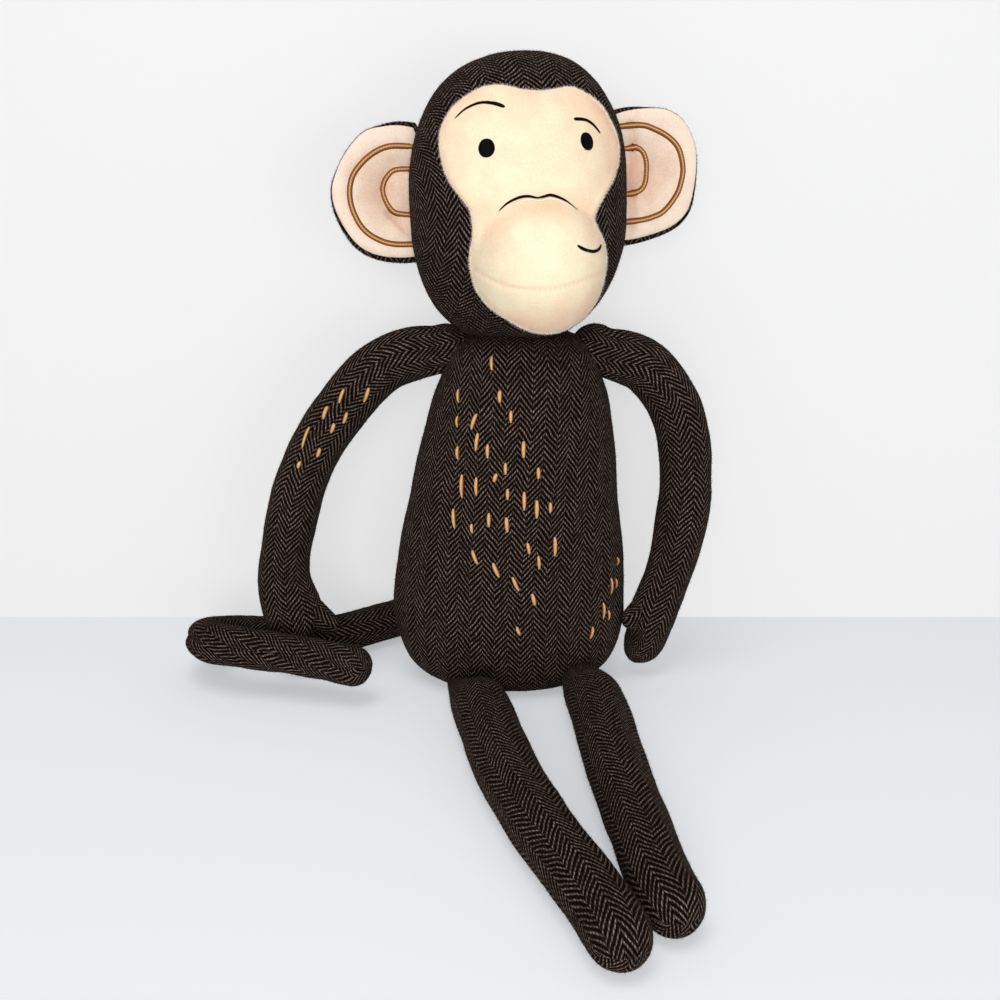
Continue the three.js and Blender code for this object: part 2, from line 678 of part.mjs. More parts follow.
function sewnLine(places, across, height) {
  const drawn = new THREE.SplineCurve(places.map(([x, y]) => new THREE.Vector2(x + across, y + height)));
  const points = drawn.getPoints(2 * places.length).map(({ x, y }) => facePoint(x, y));
  const path = new THREE.CatmullRomCurve3(points);
  const section = new THREE.Shape().absarc(0, 0, THREAD_RADIUS + GAP, 0, 2 * Math.PI);
  const tube = new THREE.ExtrudeGeometry(section, {
    extrudePath: path,
    steps: points.length - 1,
    curveSegments: 3,
  });
  return solid(tube).subtract(faceSurface);
}

const SEWN_LINES = {
  right_brow: [RIGHT_BROW, -EYE_SPACING, EYE_HEIGHT],
  left_brow: [LEFT_BROW, EYE_SPACING, EYE_HEIGHT],
  nose_line: [NOSE_LINE, 0, -MUZZLE_DROP],
  mouth_line: [MOUTH_LINE, 0, -MUZZLE_DROP],
};
for (const [name, [places, across, height]] of Object.entries(SEWN_LINES)) {
  head.add(piece(name, sewnLine(places, across, height), 'black', 0.7));
}

export default toy;
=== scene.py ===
import math

import bpy
import numpy as np
from mathutils import Matrix, Vector, noise
from mathutils.bvhtree import BVHTree


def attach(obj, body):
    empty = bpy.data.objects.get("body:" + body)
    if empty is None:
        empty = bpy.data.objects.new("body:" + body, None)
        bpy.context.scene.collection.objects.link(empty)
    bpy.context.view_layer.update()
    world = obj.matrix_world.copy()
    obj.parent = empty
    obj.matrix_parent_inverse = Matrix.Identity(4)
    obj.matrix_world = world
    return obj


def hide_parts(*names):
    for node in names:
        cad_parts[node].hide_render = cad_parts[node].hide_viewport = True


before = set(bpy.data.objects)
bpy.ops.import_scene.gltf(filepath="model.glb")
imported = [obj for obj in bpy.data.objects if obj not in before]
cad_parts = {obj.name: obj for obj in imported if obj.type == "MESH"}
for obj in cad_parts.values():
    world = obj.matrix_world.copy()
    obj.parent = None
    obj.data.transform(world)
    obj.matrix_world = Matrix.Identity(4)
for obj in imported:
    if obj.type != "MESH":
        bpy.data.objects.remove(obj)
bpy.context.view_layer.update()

# Camera. It stands close in front of the toy, at the height of its head and tipped down a little,
# so the feet look large and the floor shows behind them.
CAMERA_PLACE = (-0.006, -0.630, 0.300)
CAMERA_TIP = math.radians(73.6)
CAMERA_LENS, SENSOR_WIDTH = 37.8, 36

camera_data = bpy.data.cameras.new("camera")
camera_data.sensor_width = SENSOR_WIDTH
camera_data.lens = CAMERA_LENS
camera = bpy.data.objects.new("camera", camera_data)
camera.location = CAMERA_PLACE
camera.rotation_euler = (CAMERA_TIP, 0, 0)
bpy.context.scene.collection.objects.link(camera)
bpy.context.scene.camera = camera
bpy.context.scene.view_settings.view_transform = "Standard"

# Torso. A pear-shaped bag of dark brown herringbone tweed, sewn up the middle of its front and
# back and filled with fibre. It sits on a flat seat, and the limbs and the head are sewn to it.
MM = 0.001
TORSO_SIDES, TORSO_RINGS = 96, 80
# Half width and height, from the middle of the seat out and up to the middle of the neck.
TORSO_PROFILE = [
    (0, 0), (30, 0), (47, 0.4), (58, 4), (66.2, 13), (72.6, 33.3), (73.4, 56.1), (71.1, 78.9),
    (67.9, 101.5), (64.1, 124), (60.1, 146.5), (55.7, 168.9), (50.7, 191.2), (45.5, 208),
    (37, 216.5), (22.8, 220.5), (0, 222),
]
BELLY_HEIGHT, SHOULDER_HEIGHT = 54, 207
TORSO_LEAN = 7
BELLY_FLATNESS = 53 / 73.5
SEAT_EDGE, NECK_EDGE = 3, 212
MIDDLE_SEAM_DEPTH, MIDDLE_SEAM_START = 1.1, 6
# Where each limb is sewn on, how far out its seam lies and how far the cover is drawn in there.
LIMB_SEAMS = [
    ((-37.6, 0, 209), 17, 2.2), ((51.6, 0, 209), 17, 2.2),
    ((-20, 47.5, 20), 14, 2.0),
]
FILLING_PRESSURE, FILLING_FRAMES = 4, 20
WRINKLE_SHARE, WRINKLE_FINENESS = 0.3, 3.7
# The weave's sizes in centimetres, and how many ribs a column's slant climbs and its neighbour is off.
COLUMN_WIDTH, RIB_PITCH, YARN_WIDTH = 0.76, 0.36, 0.13
RIB_RISE, RIB_STEP = 2.65, 0.3
WEAVE_WANDER = (0.36, 0.42, 0)
TWEED_NAP, TWEED_LIFT, TORSO_WISPS = 1.2, 0.45, 26000
NAP_THICKNESS, NAP_ROOT = 0.07, 0.15


def smooth_step(value, low, high):
    share = np.clip((np.asarray(value, float) - low) / (high - low), 0, 1)
    return share * share * (3 - 2 * share)


def hump(far, reach):
    """1 where far is nothing, falling away smoothly at about reach."""
    return np.exp(-(far / reach) ** 2)


def rounded(share, squareness):
    """1 in the middle and 0 at -1 and 1: a half circle at squareness 2, with squarer ends above that."""
    return np.sqrt(np.maximum(0, 1 - np.abs(share) ** squareness))


def unit(ways, least=0):
    """Ways of length one. Those shorter than least are only divided by it."""
    return ways / np.maximum(np.linalg.norm(ways, axis=1, keepdims=True), least)


def turn_of(side, sides):
    """Angle of a side of a ball, from half a turn before its front to half a turn after it."""
    return 2 * math.pi * (side / sides - 0.5)


def smooth_route(points, steps=24):
    """Closely spaced points on a smooth curve through the given ones."""
    given = np.array(points, float)
    ends = np.vstack([2 * given[0] - given[1], given, 2 * given[-1] - given[-2]])
    share = np.linspace(0, 1, steps, endpoint=False)[:, None]
    curve = []
    for first, start, end, last in zip(ends, ends[1:], ends[2:], ends[3:]):
        pairs = ((first, start), (start, end), (end, last))
        before, between, after = (np.linalg.norm(b - a) ** 0.5 for a, b in pairs)
        leaving = ((start - first) / before - (end - first) / (before + between)) * between + (end - start)
        arriving = ((last - end) / after - (last - start) / (between + after)) * between + (end - start)
        square = -3 * start + 3 * end - 2 * leaving - arriving
        cube = 2 * start - 2 * end + leaving + arriving
        curve.append(start + leaving * share + square * share ** 2 + cube * share ** 3)
    return np.vstack(curve + [given[-1:]])


def route_length(route):
    return np.concatenate([[0], np.cumsum(np.linalg.norm(np.diff(route, axis=0), axis=1))])


def places_on(route, distances):
    """Points at distances along a route, and straight on past its ends."""
    lengths = route_length(route)
    inside = np.clip(distances, 0, lengths[-1])
    points = np.stack([np.interp(inside, lengths, column) for column in route.T], axis=1)
    first = (route[1] - route[0]) / np.linalg.norm(route[1] - route[0])
    return points + first * np.minimum(distances, 0)[:, None]


def start_ball(name, sides, rings):
    """A ball whose rings and sides are numbered, ready to be shaped."""
    bpy.ops.object.select_all(action="DESELECT")
    bpy.ops.mesh.primitive_uv_sphere_add(segments=sides, ring_count=rings, radius=1, calc_uvs=False)
    ball = bpy.context.object
    ball.name = ball.data.name = name
    points = np.array([vertex.co for vertex in ball.data.vertices])
    # Blender lists a new ball's faces in another order each time, so they are put in a fixed one. The
    # same is done with a cover's faces before its nap is spread over them.
    faces = []
    for face in ball.data.polygons:
        corners = list(face.vertices)
        first = corners.index(min(corners))
        faces.append(corners[first:] + corners[:first])
    ball.data.clear_geometry()
    ball.data.from_pydata(points.tolist(), [], sorted(faces))
    ring = np.rint(np.arccos(np.clip(points[:, 2], -1, 1)) / math.pi * rings).astype(int)
    side = np.rint(np.arctan2(points[:, 1], points[:, 0]) / (2 * math.pi) * sides).astype(int) % sides
    return ball, ring, side


def points_of(piece):
    return np.array([vertex.co for vertex in piece.data.vertices]) / MM


def set_points(piece, points):
    piece.data.vertices.foreach_set("co", (np.asarray(points, float) * MM).ravel())
    piece.data.update()


def select_only(piece):
    bpy.ops.object.select_all(action="DESELECT")
    bpy.context.view_layer.objects.active = piece
    piece.select_set(True)


def turn_outward(piece):
    select_only(piece)
    bpy.ops.object.mode_set(mode="EDIT")
    bpy.ops.mesh.select_all(action="SELECT")
    bpy.ops.mesh.normals_make_consistent(inside=False)
    bpy.ops.object.mode_set(mode="OBJECT")


def lay_weave(piece, ring, side, sides, cloth_at):
    """Lays the cloth on a shaped ball in centimetres, so its columns keep their real width."""
    layer = piece.data.uv_layers.new(name="weave")
    last = int(ring.max())
    for face in piece.data.polygons:
        corners = [piece.data.loops[loop].vertex_index for loop in face.loop_indices]
        numbers = [int(side[corner]) for corner in corners]
        real = [n for n, corner in zip(numbers, corners) if 0 < ring[corner] < last]
        crosses_seam = max(real) - min(real) > sides / 2
        if crosses_seam:
            numbers = [n + sides if n < sides / 2 else n for n in numbers]
            real = [n + sides if n < sides / 2 else n for n in real]
        middle = sum(real) / len(real)
        for loop, corner, number in zip(face.loop_indices, corners, numbers):
            row = int(ring[corner])
            place = number if 0 < row < last else middle
            across, along = cloth_at(place, row, middle)
            layer.data[loop].uv = (across / 10, along / 10)


def plump(piece, held, most):
    """Blows the cover up with its filling. Held points stay, and no point moves further than most."""
    before = points_of(piece)
    group = piece.vertex_groups.new(name="held")
    group.add([int(index) for index in np.nonzero(held)[0]], 1.0, "REPLACE")
    select_only(piece)
    cloth = piece.modifiers.new("filling", "CLOTH")
    cloth.settings.vertex_group_mass = "held"
    cloth.settings.use_pressure = True
    cloth.settings.uniform_pressure_force = FILLING_PRESSURE
    cloth.settings.effector_weights.gravity = 0
    cloth.collision_settings.use_collision = False
    cloth.point_cache.frame_start = 1
    cloth.point_cache.frame_end = FILLING_FRAMES
    for frame_number in range(1, FILLING_FRAMES + 1):
        bpy.context.scene.frame_set(frame_number)
    bpy.ops.object.modifier_apply(modifier=cloth.name)
    bpy.context.scene.frame_set(1)
    piece.vertex_groups.remove(piece.vertex_groups["held"])
    moved = points_of(piece) - before
    far = np.linalg.norm(moved, axis=1, keepdims=True)
    set_points(piece, before + moved * np.minimum(1, most / np.maximum(far, 1e-6)))


def round_off(piece):
    select_only(piece)
    rounding = piece.modifiers.new("rounding", "SUBSURF")
    rounding.levels = rounding.render_levels = 1
    rounding.use_limit_surface = False
    bpy.ops.object.modifier_apply(modifier=rounding.name)
    bpy.ops.object.shade_smooth()


def add_lumps(piece, height, length, start):
    """Slow unevenness of a fibre filling under the cloth, with small wrinkles of the cloth over it."""
    mesh = piece.data
    normals = [vertex.normal.copy() for vertex in mesh.vertices]
    away = Vector((start, 0, 0))
    for vertex, normal in zip(mesh.vertices, normals):
        place = vertex.co / (length * MM)
        lump = noise.noise(place + away) + WRINKLE_SHARE * noise.noise(place * WRINKLE_FINENESS - away)
        vertex.co += normal * (lump * height * MM)
    mesh.update()


def torso_lean(height):
    return TORSO_LEAN * smooth_step(height, BELLY_HEIGHT, SHOULDER_HEIGHT)


def torso_flatness(height):
    return BELLY_FLATNESS + (1 - BELLY_FLATNESS) * smooth_step(height, BELLY_HEIGHT, SHOULDER_HEIGHT)


def sew_in(points, root, reach, depth):
    """Draws a cover in round the place where a limb is sewn to it."""
    far = np.linalg.norm(points - np.array(root, float), axis=1)
    middle = np.array([torso_lean(root[2]), 0, root[2]])
    inward = unit(middle - points, 1)
    return points + inward * (depth * hump(far - reach, reach / 2))[:, None]


def colour(red, green, blue):
    """A colour as seen on a screen, from 0 to 255, as Blender's own numbers."""
    parts = (part / 255 for part in (red, green, blue))
    return [part / 12.92 if part < 0.04045 else ((part + 0.055) / 1.055) ** 2.4 for part in parts] + [1]


def join(tree, value, socket):
    """Links a socket, or sets a plain number or colour."""
    if isinstance(value, bpy.types.NodeSocket):
        tree.links.new(value, socket)
    else:
        socket.default_value = value


def maths(tree, operation, *values):
    step = tree.nodes.new("ShaderNodeMath")
    step.operation = operation
    for value, socket in zip(values, step.inputs):
        join(tree, value, socket)
    return step.outputs[0]


def soft_step(tree, value, low, high):
    step = tree.nodes.new("ShaderNodeMapRange")
    step.interpolation_type = "SMOOTHSTEP"
    for name, given in (("Value", value), ("From Min", low), ("From Max", high)):
        join(tree, given, step.inputs[name])
    return step.outputs["Result"]


def grain(tree, place, scale, detail=2.0, output="Fac"):
    texture = tree.nodes.new("ShaderNodeTexNoise")
    join(tree, place, texture.inputs["Vector"])
    texture.inputs["Scale"].default_value = scale
    texture.inputs["Detail"].default_value = detail
    return texture.outputs[output]


def ripple(tree, value):
    """Rises from 0 to 1 and falls again over each whole number."""
    return maths(tree, "MULTIPLY", maths(tree, "PINGPONG", value, 0.5), 2.0)


def blend_colours(tree, share, first, second):
    step = tree.nodes.new("ShaderNodeMix")
    step.data_type = "RGBA"
    factor, first_colour, second_colour = (step.inputs[number] for number in (0, 6, 7))
    join(tree, share, factor)
    join(tree, first, first_colour)
    join(tree, second, second_colour)
    return step.outputs[2]


def new_group(name, inputs, outputs):
    group = bpy.data.node_groups.new(name, "ShaderNodeTree")
    for label, kind in inputs:
        group.interface.new_socket(label, in_out="INPUT", socket_type=f"NodeSocket{kind}")
    for label, kind in outputs:
        group.interface.new_socket(label, in_out="OUTPUT", socket_type=f"NodeSocket{kind}")
    return group, group.nodes.new("NodeGroupInput").outputs, group.nodes.new("NodeGroupOutput").inputs


def use_group(tree, group, values):
    """Places a shared effect in a material with its own values."""
    effect = tree.nodes.new("ShaderNodeGroup")
    effect.node_tree = group
    for label, value in values.items():
        join(tree, value, effect.inputs[label])
    return effect.outputs


def laid_place(tree, layer):
    """Where a point lies on its cloth or thread, by the piece's own map."""
    place = tree.nodes.new("ShaderNodeUVMap")
    place.uv_map = layer
    return place.outputs[0]


def make_herringbone():
    """Columns of slanting ribs that turn back at each column's edge, each rib a row of yarn ends."""
    group, given, result = new_group(
        "herringbone",
        [
            ("Weave", "Vector"), ("Column", "Float"), ("Rib", "Float"), ("Rise", "Float"),
            ("Dark", "Color"), ("Light", "Color"),
        ],
        [("Color", "Color"), ("Height", "Float")],
    )
    wander = group.nodes.new("ShaderNodeVectorMath")
    wander.operation = "MULTIPLY_ADD"
    join(group, grain(group, given["Weave"], 0.7, 4, "Color"), wander.inputs[0])
    wander.inputs[1].default_value = WEAVE_WANDER
    join(group, given["Weave"], wander.inputs[2])
    split = group.nodes.new("ShaderNodeSeparateXYZ")
    join(group, wander.outputs[0], split.inputs[0])
    across, along = split.outputs[0], split.outputs[1]

    column = maths(group, "DIVIDE", across, given["Column"])
    zigzag = maths(group, "PINGPONG", column, 1.0)
    turned = maths(group, "FLOORED_MODULO", maths(group, "FLOOR", column), 2.0)
    rib = maths(group, "DIVIDE", along, given["Rib"])
    rib = maths(group, "MULTIPLY_ADD", zigzag, given["Rise"], rib)
    rib = maths(group, "MULTIPLY_ADD", turned, RIB_STEP, rib)
    ridge = soft_step(group, ripple(group, rib), 0.45, 0.92)

    yarn_place = maths(group, "DIVIDE", across, YARN_WIDTH)
    yarn = soft_step(group, ripple(group, yarn_place), 0.05, 0.75)
    numbers = group.nodes.new("ShaderNodeCombineXYZ")
    join(group, maths(group, "FLOOR", yarn_place), numbers.inputs[0])
    join(group, maths(group, "FLOOR", rib), numbers.inputs[1])
    knot = group.nodes.new("ShaderNodeTexWhiteNoise")
    knot.noise_dimensions = "2D"
    join(group, numbers.outputs[0], knot.inputs["Vector"])
    fibre = grain(group, given["Weave"], 14.0, 3)
    patch = grain(group, given["Weave"], 0.9, 2)
    bright = ridge
    for shade, strength, least in (
        (yarn, 0.8, 0.2),
        (knot.outputs["Value"], 0.9, 0.5),
        (soft_step(group, fibre, 0.3, 0.7), 1.1, 0.45),
        (patch, 0.44, 0.33),
    ):
        bright = maths(group, "MULTIPLY", bright, maths(group, "MULTIPLY_ADD", shade, strength, least))
    join(group, blend_colours(group, bright, given["Dark"], given["Light"]), result["Color"])

    height = maths(group, "MULTIPLY_ADD", yarn, 0.25, maths(group, "MULTIPLY", ridge, 0.6))
    height = maths(group, "MULTIPLY_ADD", fibre, 0.45, height)
    join(group, height, result["Height"])
    return group


def new_material(name, roughness, shine, sheen=0.0, sheen_roughness=0.5, sheen_tint=(1, 1, 1, 1)):
    material = bpy.data.materials.new(name)
    material.use_nodes = True
    shader = material.node_tree.nodes["Principled BSDF"]
    for label, value in (
        ("Roughness", roughness), ("Specular IOR Level", shine), ("Sheen Weight", sheen),
        ("Sheen Roughness", sheen_roughness), ("Sheen Tint", sheen_tint),
    ):
        shader.inputs[label].default_value = value
    return material, material.node_tree, shader


def add_bump(tree, shader, height, strength, depth):
    bump = tree.nodes.new("ShaderNodeBump")
    bump.inputs["Strength"].default_value = strength
    bump.inputs["Distance"].default_value = depth * MM
    join(tree, height, bump.inputs["Height"])
    join(tree, bump.outputs["Normal"], shader.inputs["Normal"])


def make_wisp(name, shine, sheen, shade):
    """Finish of the loose fibre ends of a cloth."""
    material, _, shader = new_material(name, roughness=1.0, shine=shine, sheen=sheen)
    shader.inputs["Base Color"].default_value = shade
    return material


tweed, tweed_tree, tweed_shader = new_material(
    "herringbone_tweed", roughness=0.95, shine=0.02, sheen=0.03, sheen_tint=colour(150, 130, 118),
)
weave = use_group(tweed_tree, make_herringbone(), {
    "Weave": laid_place(tweed_tree, "weave"),
    "Column": COLUMN_WIDTH,
    "Rib": RIB_PITCH,
    "Rise": RIB_RISE,
    "Dark": colour(16, 9, 6),
    "Light": colour(157, 137, 126),
})
join(tweed_tree, weave["Color"], tweed_shader.inputs["Base Color"])
add_bump(tweed_tree, tweed_shader, weave["Height"], strength=0.8, depth=0.7)
tweed_wisp = make_wisp("tweed_fibre_ends", shine=0.02, sheen=0.0, shade=colour(74, 62, 55))


def add_nap(name, cover, body, finish, count, length, lift, start, favour=None):
    """Loose fibre ends that stand out of a cloth, each a closed sliver with its foot in the cover."""
    chance = np.random.default_rng(start)
    cover.data.calc_loop_triangles()
    corners = np.array([triangle.vertices for triangle in cover.data.loop_triangles])
    points = points_of(cover)
    corners = corners[np.lexsort(points[corners].reshape(-1, 9).T)]
    normals = np.array([vertex.normal for vertex in cover.data.vertices])
    first, second, third = (points[corners[:, number]] for number in range(3))
    weight = np.linalg.norm(np.cross(second - first, third - first), axis=1)
    if favour is not None:
        weight = weight * favour[corners].mean(axis=1)
    chosen = corners[chance.choice(len(corners), count, p=weight / weight.sum())]
    share = chance.dirichlet((1, 1, 1), count)[:, :, None]
    foot = (points[chosen] * share).sum(axis=1)
    up = unit((normals[chosen] * share).sum(axis=1))
    lean = unit(np.cross(up, chance.normal(size=(count, 3))))
    rise = lift * (0.5 + chance.random((count, 1)))
    way = unit(up * rise + lean * (1 - rise))
    across = unit(np.cross(way, up))
    other = np.cross(way, across)
    long = length * (0.5 + chance.random((count, 1)))
    slivers = np.empty((count, 4, 3))
    for number in range(3):
        turn = 2 * math.pi * number / 3
        aside = across * math.cos(turn) + other * math.sin(turn)
        slivers[:, number] = foot - up * NAP_ROOT + aside * NAP_THICKNESS
    slivers[:, 3] = foot + way * long
    sides = np.array([(0, 1, 3), (1, 2, 3), (2, 0, 3), (0, 2, 1)])
    faces = (np.arange(count)[:, None, None] * 4 + sides).reshape(-1, 3)
    mesh = bpy.data.meshes.new(name)
    mesh.from_pydata((slivers.reshape(-1, 3) * MM).tolist(), [], faces.tolist())
    nap = bpy.data.objects.new(name, mesh)
    bpy.context.scene.collection.objects.link(nap)
    nap.data.materials.append(finish)
    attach(nap, body)


torso_curve = smooth_route(TORSO_PROFILE)
torso_steps = np.linspace(0, route_length(torso_curve)[-1], TORSO_RINGS + 1)
torso_rows = places_on(torso_curve, torso_steps)
torso, torso_ring, torso_side = start_ball("torso", TORSO_SIDES, TORSO_RINGS)
half_width, height = torso_rows[TORSO_RINGS - torso_ring].T
angle = turn_of(torso_side, TORSO_SIDES)
set_points(torso, np.stack([
    half_width * np.sin(angle) + torso_lean(height),
    -half_width * torso_flatness(height) * np.cos(angle),
    height,
], axis=1))
turn_outward(torso)

# Length of cloth from the middle of the front round to each side, at each height.
round_angles = np.linspace(-math.pi, math.pi, 2 * TORSO_SIDES + 1)
torso_girths = []
for width, level in torso_rows:
    aside = width * np.sin(round_angles)
    ahead = -width * torso_flatness(level) * np.cos(round_angles)
    girth = route_length(np.stack([aside, ahead], axis=1))
    torso_girths.append(girth - girth[TORSO_SIDES])


def torso_cloth(place, row, middle):
    across = np.interp(turn_of(place, TORSO_SIDES), round_angles, torso_girths[TORSO_RINGS - row])
    return float(across), float(torso_steps[TORSO_RINGS - row])


lay_weave(torso, torso_ring, torso_side, TORSO_SIDES, torso_cloth)
plump(torso, (height < SEAT_EDGE) | (height > NECK_EDGE), most=2.0)
add_lumps(torso, height=1.1, length=34, start=3)
torso_points = points_of(torso)
for limb_root, limb_reach, limb_pull in LIMB_SEAMS:
    torso_points = sew_in(torso_points, limb_root, limb_reach, limb_pull)
above_seat = torso_points[:, 2] > MIDDLE_SEAM_START
torso_points[(torso_side == TORSO_SIDES // 2) & above_seat, 1] += MIDDLE_SEAM_DEPTH
torso_points[(torso_side == 0) & above_seat, 1] -= MIDDLE_SEAM_DEPTH
torso_points[:, 2] = np.maximum(torso_points[:, 2], 0)
set_points(torso, torso_points)
round_off(torso)
torso.data.materials.append(tweed)
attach(torso, "torso")
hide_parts("torso_cover", "torso_stuffing")
add_nap("torso_nap", torso, "torso", tweed_wisp, TORSO_WISPS, TWEED_NAP, TWEED_LIFT, start=51)

# Chest stitches. Short loose stitches of thick caramel yarn, scattered down the front, each one
# a single slim loop that goes into the tweed at both ends. Places are across and up, top to bottom.
CHEST_STITCHES = [
    (-10.7, 211.5, -10.6, 202.9), (-29.8, 191.5, -29.8, 183.2), (-6.1, 193.3, -6.1, 185.6),
    (-30.4, 176.7, -30.4, 169.5), (-19.1, 179.6, -22.6, 169.3), (0.1, 182.3, 0.1, 174.5),
    (-18.4, 169.1, -19.9, 157.3), (-30.3, 159.7, -30.3, 151.2), (-13.0, 162.9, -13.0, 153.7),
    (7.3, 165.3, 7.4, 154.3), (-2.9, 152.6, -2.9, 144.8), (15.7, 149.8, 15.8, 142.3),
    (-28.0, 144.2, -28.1, 128.7), (-19.6, 143.4, -19.7, 131.0), (-7.9, 146.0, -9.7, 140.4),
    (-1.7, 137.4, -1.7, 129.8), (7.8, 136.0, 7.9, 123.3), (15.0, 130.9, 15.1, 118.3),
    (22.8, 128.8, 22.9, 121.5), (-33.3, 123.2, -32.5, 109.7), (-22.6, 115.0, -22.1, 108.5),
    (-12.4, 122.5, -12.4, 113.0), (-2.4, 120.5, -1.8, 110.1), (9.8, 104.8, 11.3, 96.8),
    (25.8, 107.8, 26.1, 93.9), (16.3, 96.4, 17.0, 86.8), (-22.5, 99.1, -18.9, 89.5),
    (-10.4, 92.3, -6.2, 82.1), (1.1, 83.3, 5.4, 73.4), (12.8, 72.6, 14.9, 64.1), (3.8, 51.9, 6.0, 45.7),
    (66.1, 84.3, 66.2, 78.6), (62.0, 73.5, 62.3, 61.6), (65.4, 71.3, 65.5, 64.0),
    (57.1, 59.6, 57.4, 47.7), (60.7, 53.0, 60.9, 45.6), (50.6, 46.0, 48.8, 37.3),
]
STITCH_HALF_WIDTH, STITCH_FLATNESS, STITCH_SIDES, STITCH_ROWS = 1.45, 0.5, 8, 9
# How far a stitch's middle stands out of the tweed, and the share of it by which its ends go in.
STITCH_LIFT, STITCH_SINK = 0.6, 0.6


def shape_tube(name, sides, centres, along, facing, wide, thick):
    """A ball drawn out into a closed tube, one ring at each centre, with its front held to facing."""
    tube, ring, side = start_ball(name, sides, len(centres) - 1)
    across = unit(np.cross(along, facing))
    depth = np.cross(across, along)
    turn = turn_of(side, sides)
    points = centres[ring] + across[ring] * (wide[ring] * np.sin(turn))[:, None]
    set_points(tube, points + depth[ring] * (thick[ring] * np.cos(turn))[:, None])
    turn_outward(tube)
    return tube, ring, side


def directions_of(points):
    return unit(np.gradient(points, axis=0))


def drop_on(cover, start, way):
    """Where a straight line from a start lands on a cover, and the way that the cover faces there."""
    place, normal, _, _ = cover.ray_cast(Vector(np.asarray(start) * MM), Vector(way))
    return np.array(place) / MM, np.array(normal)


def make_twist():
    """Fine strands that lie side by side along or across a thread, each strand with a painted highlight on
    its back, and the thread with painted shade down its sides and a painted highlight along its middle.
    """
    group, given, result = new_group(
        "thread_twist",
        [
            ("Thread", "Vector"), ("Strand", "Float"), ("Slant", "Float"),
            ("Dark", "Color"), ("Light", "Color"),
        ],
        [("Color", "Color"), ("Height", "Float")],
    )
    split = group.nodes.new("ShaderNodeSeparateXYZ")
    join(group, given["Thread"], split.inputs[0])
    along, across = split.outputs[0], split.outputs[1]
    lean = maths(group, "MULTIPLY_ADD", across, given["Slant"], along)
    strand = soft_step(group, ripple(group, maths(group, "DIVIDE", lean, given["Strand"])), 0.0, 0.8)
    # Painted shade: the thread darkens towards its sides, and is lightest along its middle, a painted
    # highlight.
    edge = soft_step(group, maths(group, "ABSOLUTE", across), 0.25, 0.95)
    bright = maths(group, "SUBTRACT", 1.0, edge)
    for shade, strength, least in ((strand, 0.7, 0.35), (grain(group, given["Thread"], 6.0), 0.8, 0.6)):
        bright = maths(group, "MULTIPLY", bright, maths(group, "MULTIPLY_ADD", shade, strength, least))
    join(group, blend_colours(group, bright, given["Dark"], given["Light"]), result["Color"])
    join(group, strand, result["Height"])
    return group


thread_twist = make_twist()


def make_thread(name, dark, light, strand, slant, sheen=0.0):
    """A thread's finish: strand is how far apart its strands are along it, in centimetres."""
    material, tree, shader = new_material(
        name, roughness=0.65, shine=0.06, sheen=sheen, sheen_roughness=0.4,
    )
    twist = use_group(tree, thread_twist, {
        "Thread": laid_place(tree, "thread"),
        "Strand": strand,
        "Slant": slant,
        "Dark": dark,
        "Light": light,
    })
    join(tree, twist["Color"], shader.inputs["Base Color"])
    add_bump(tree, shader, twist["Height"], strength=0.5, depth=0.25)
    return material


caramel_yarn = make_thread(
    "caramel_yarn", colour(132, 68, 26), colour(250, 202, 142), strand=0.07, slant=0.05, sheen=0.05,
)


def lay_thread(piece, ring, side, sides, lengths):
    """Lays a thread's own places on its tube: along in centimetres, and across from -1 to 1."""
    layer = piece.data.uv_layers.new(name="thread")
    across = np.where((ring > 0) & (ring < ring.max()), np.sin(turn_of(side, sides)), 0)
    for loop in piece.data.loops:
        corner = loop.vertex_index
        layer.data[loop.index].uv = (lengths[ring[corner]] / 10, across[corner])


def join_pieces(name, pieces):
    select_only(pieces[0])
    for piece in pieces[1:]:
        piece.select_set(True)
    bpy.ops.object.join()
    pieces[0].name = pieces[0].data.name = name
    bpy.ops.object.shade_smooth()
    return pieces[0]


def sew_stitches(name, cover, body, places):
    """Lays each stitch on its cover, seen from straight in front, and joins them to one piece."""
    cover_faces = BVHTree.FromObject(cover, bpy.context.evaluated_depsgraph_get())
    share = np.linspace(0, 1, STITCH_ROWS)
    lift = STITCH_LIFT * ((1 + STITCH_SINK) * np.sin(math.pi * share) - STITCH_SINK)
    round_ends = np.maximum(0, 1 - np.abs(2 * share - 1) ** 2.4) ** 0.6
    stitches = []
    for number, (top_across, top, low_across, low) in enumerate(places):
        starts = [(top_across + t * (low_across - top_across), -500, top + t * (low - top)) for t in share]
        landed = [drop_on(cover_faces, start, (0, 1, 0)) for start in starts]
        faces = np.array([normal for _, normal in landed])
        centres = np.array([place for place, _ in landed]) + faces * lift[:, None]
        fat = STITCH_HALF_WIDTH * (0.9 + 0.2 * (number * 7 % 5) / 4)
        wide = fat * round_ends * (1.05 - 0.25 * share)
        stitch, ring, side = shape_tube(
            f"{name}_{number}", STITCH_SIDES, centres, directions_of(centres), faces,
            wide, wide * STITCH_FLATNESS,
        )
        lay_thread(stitch, ring, side, STITCH_SIDES, route_length(centres))
        stitches.append(stitch)
    sewn = join_pieces(name, stitches)
    sewn.data.materials.append(caramel_yarn)
    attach(sewn, body)


sew_stitches("chest_stitches", torso, "torso", CHEST_STITCHES)

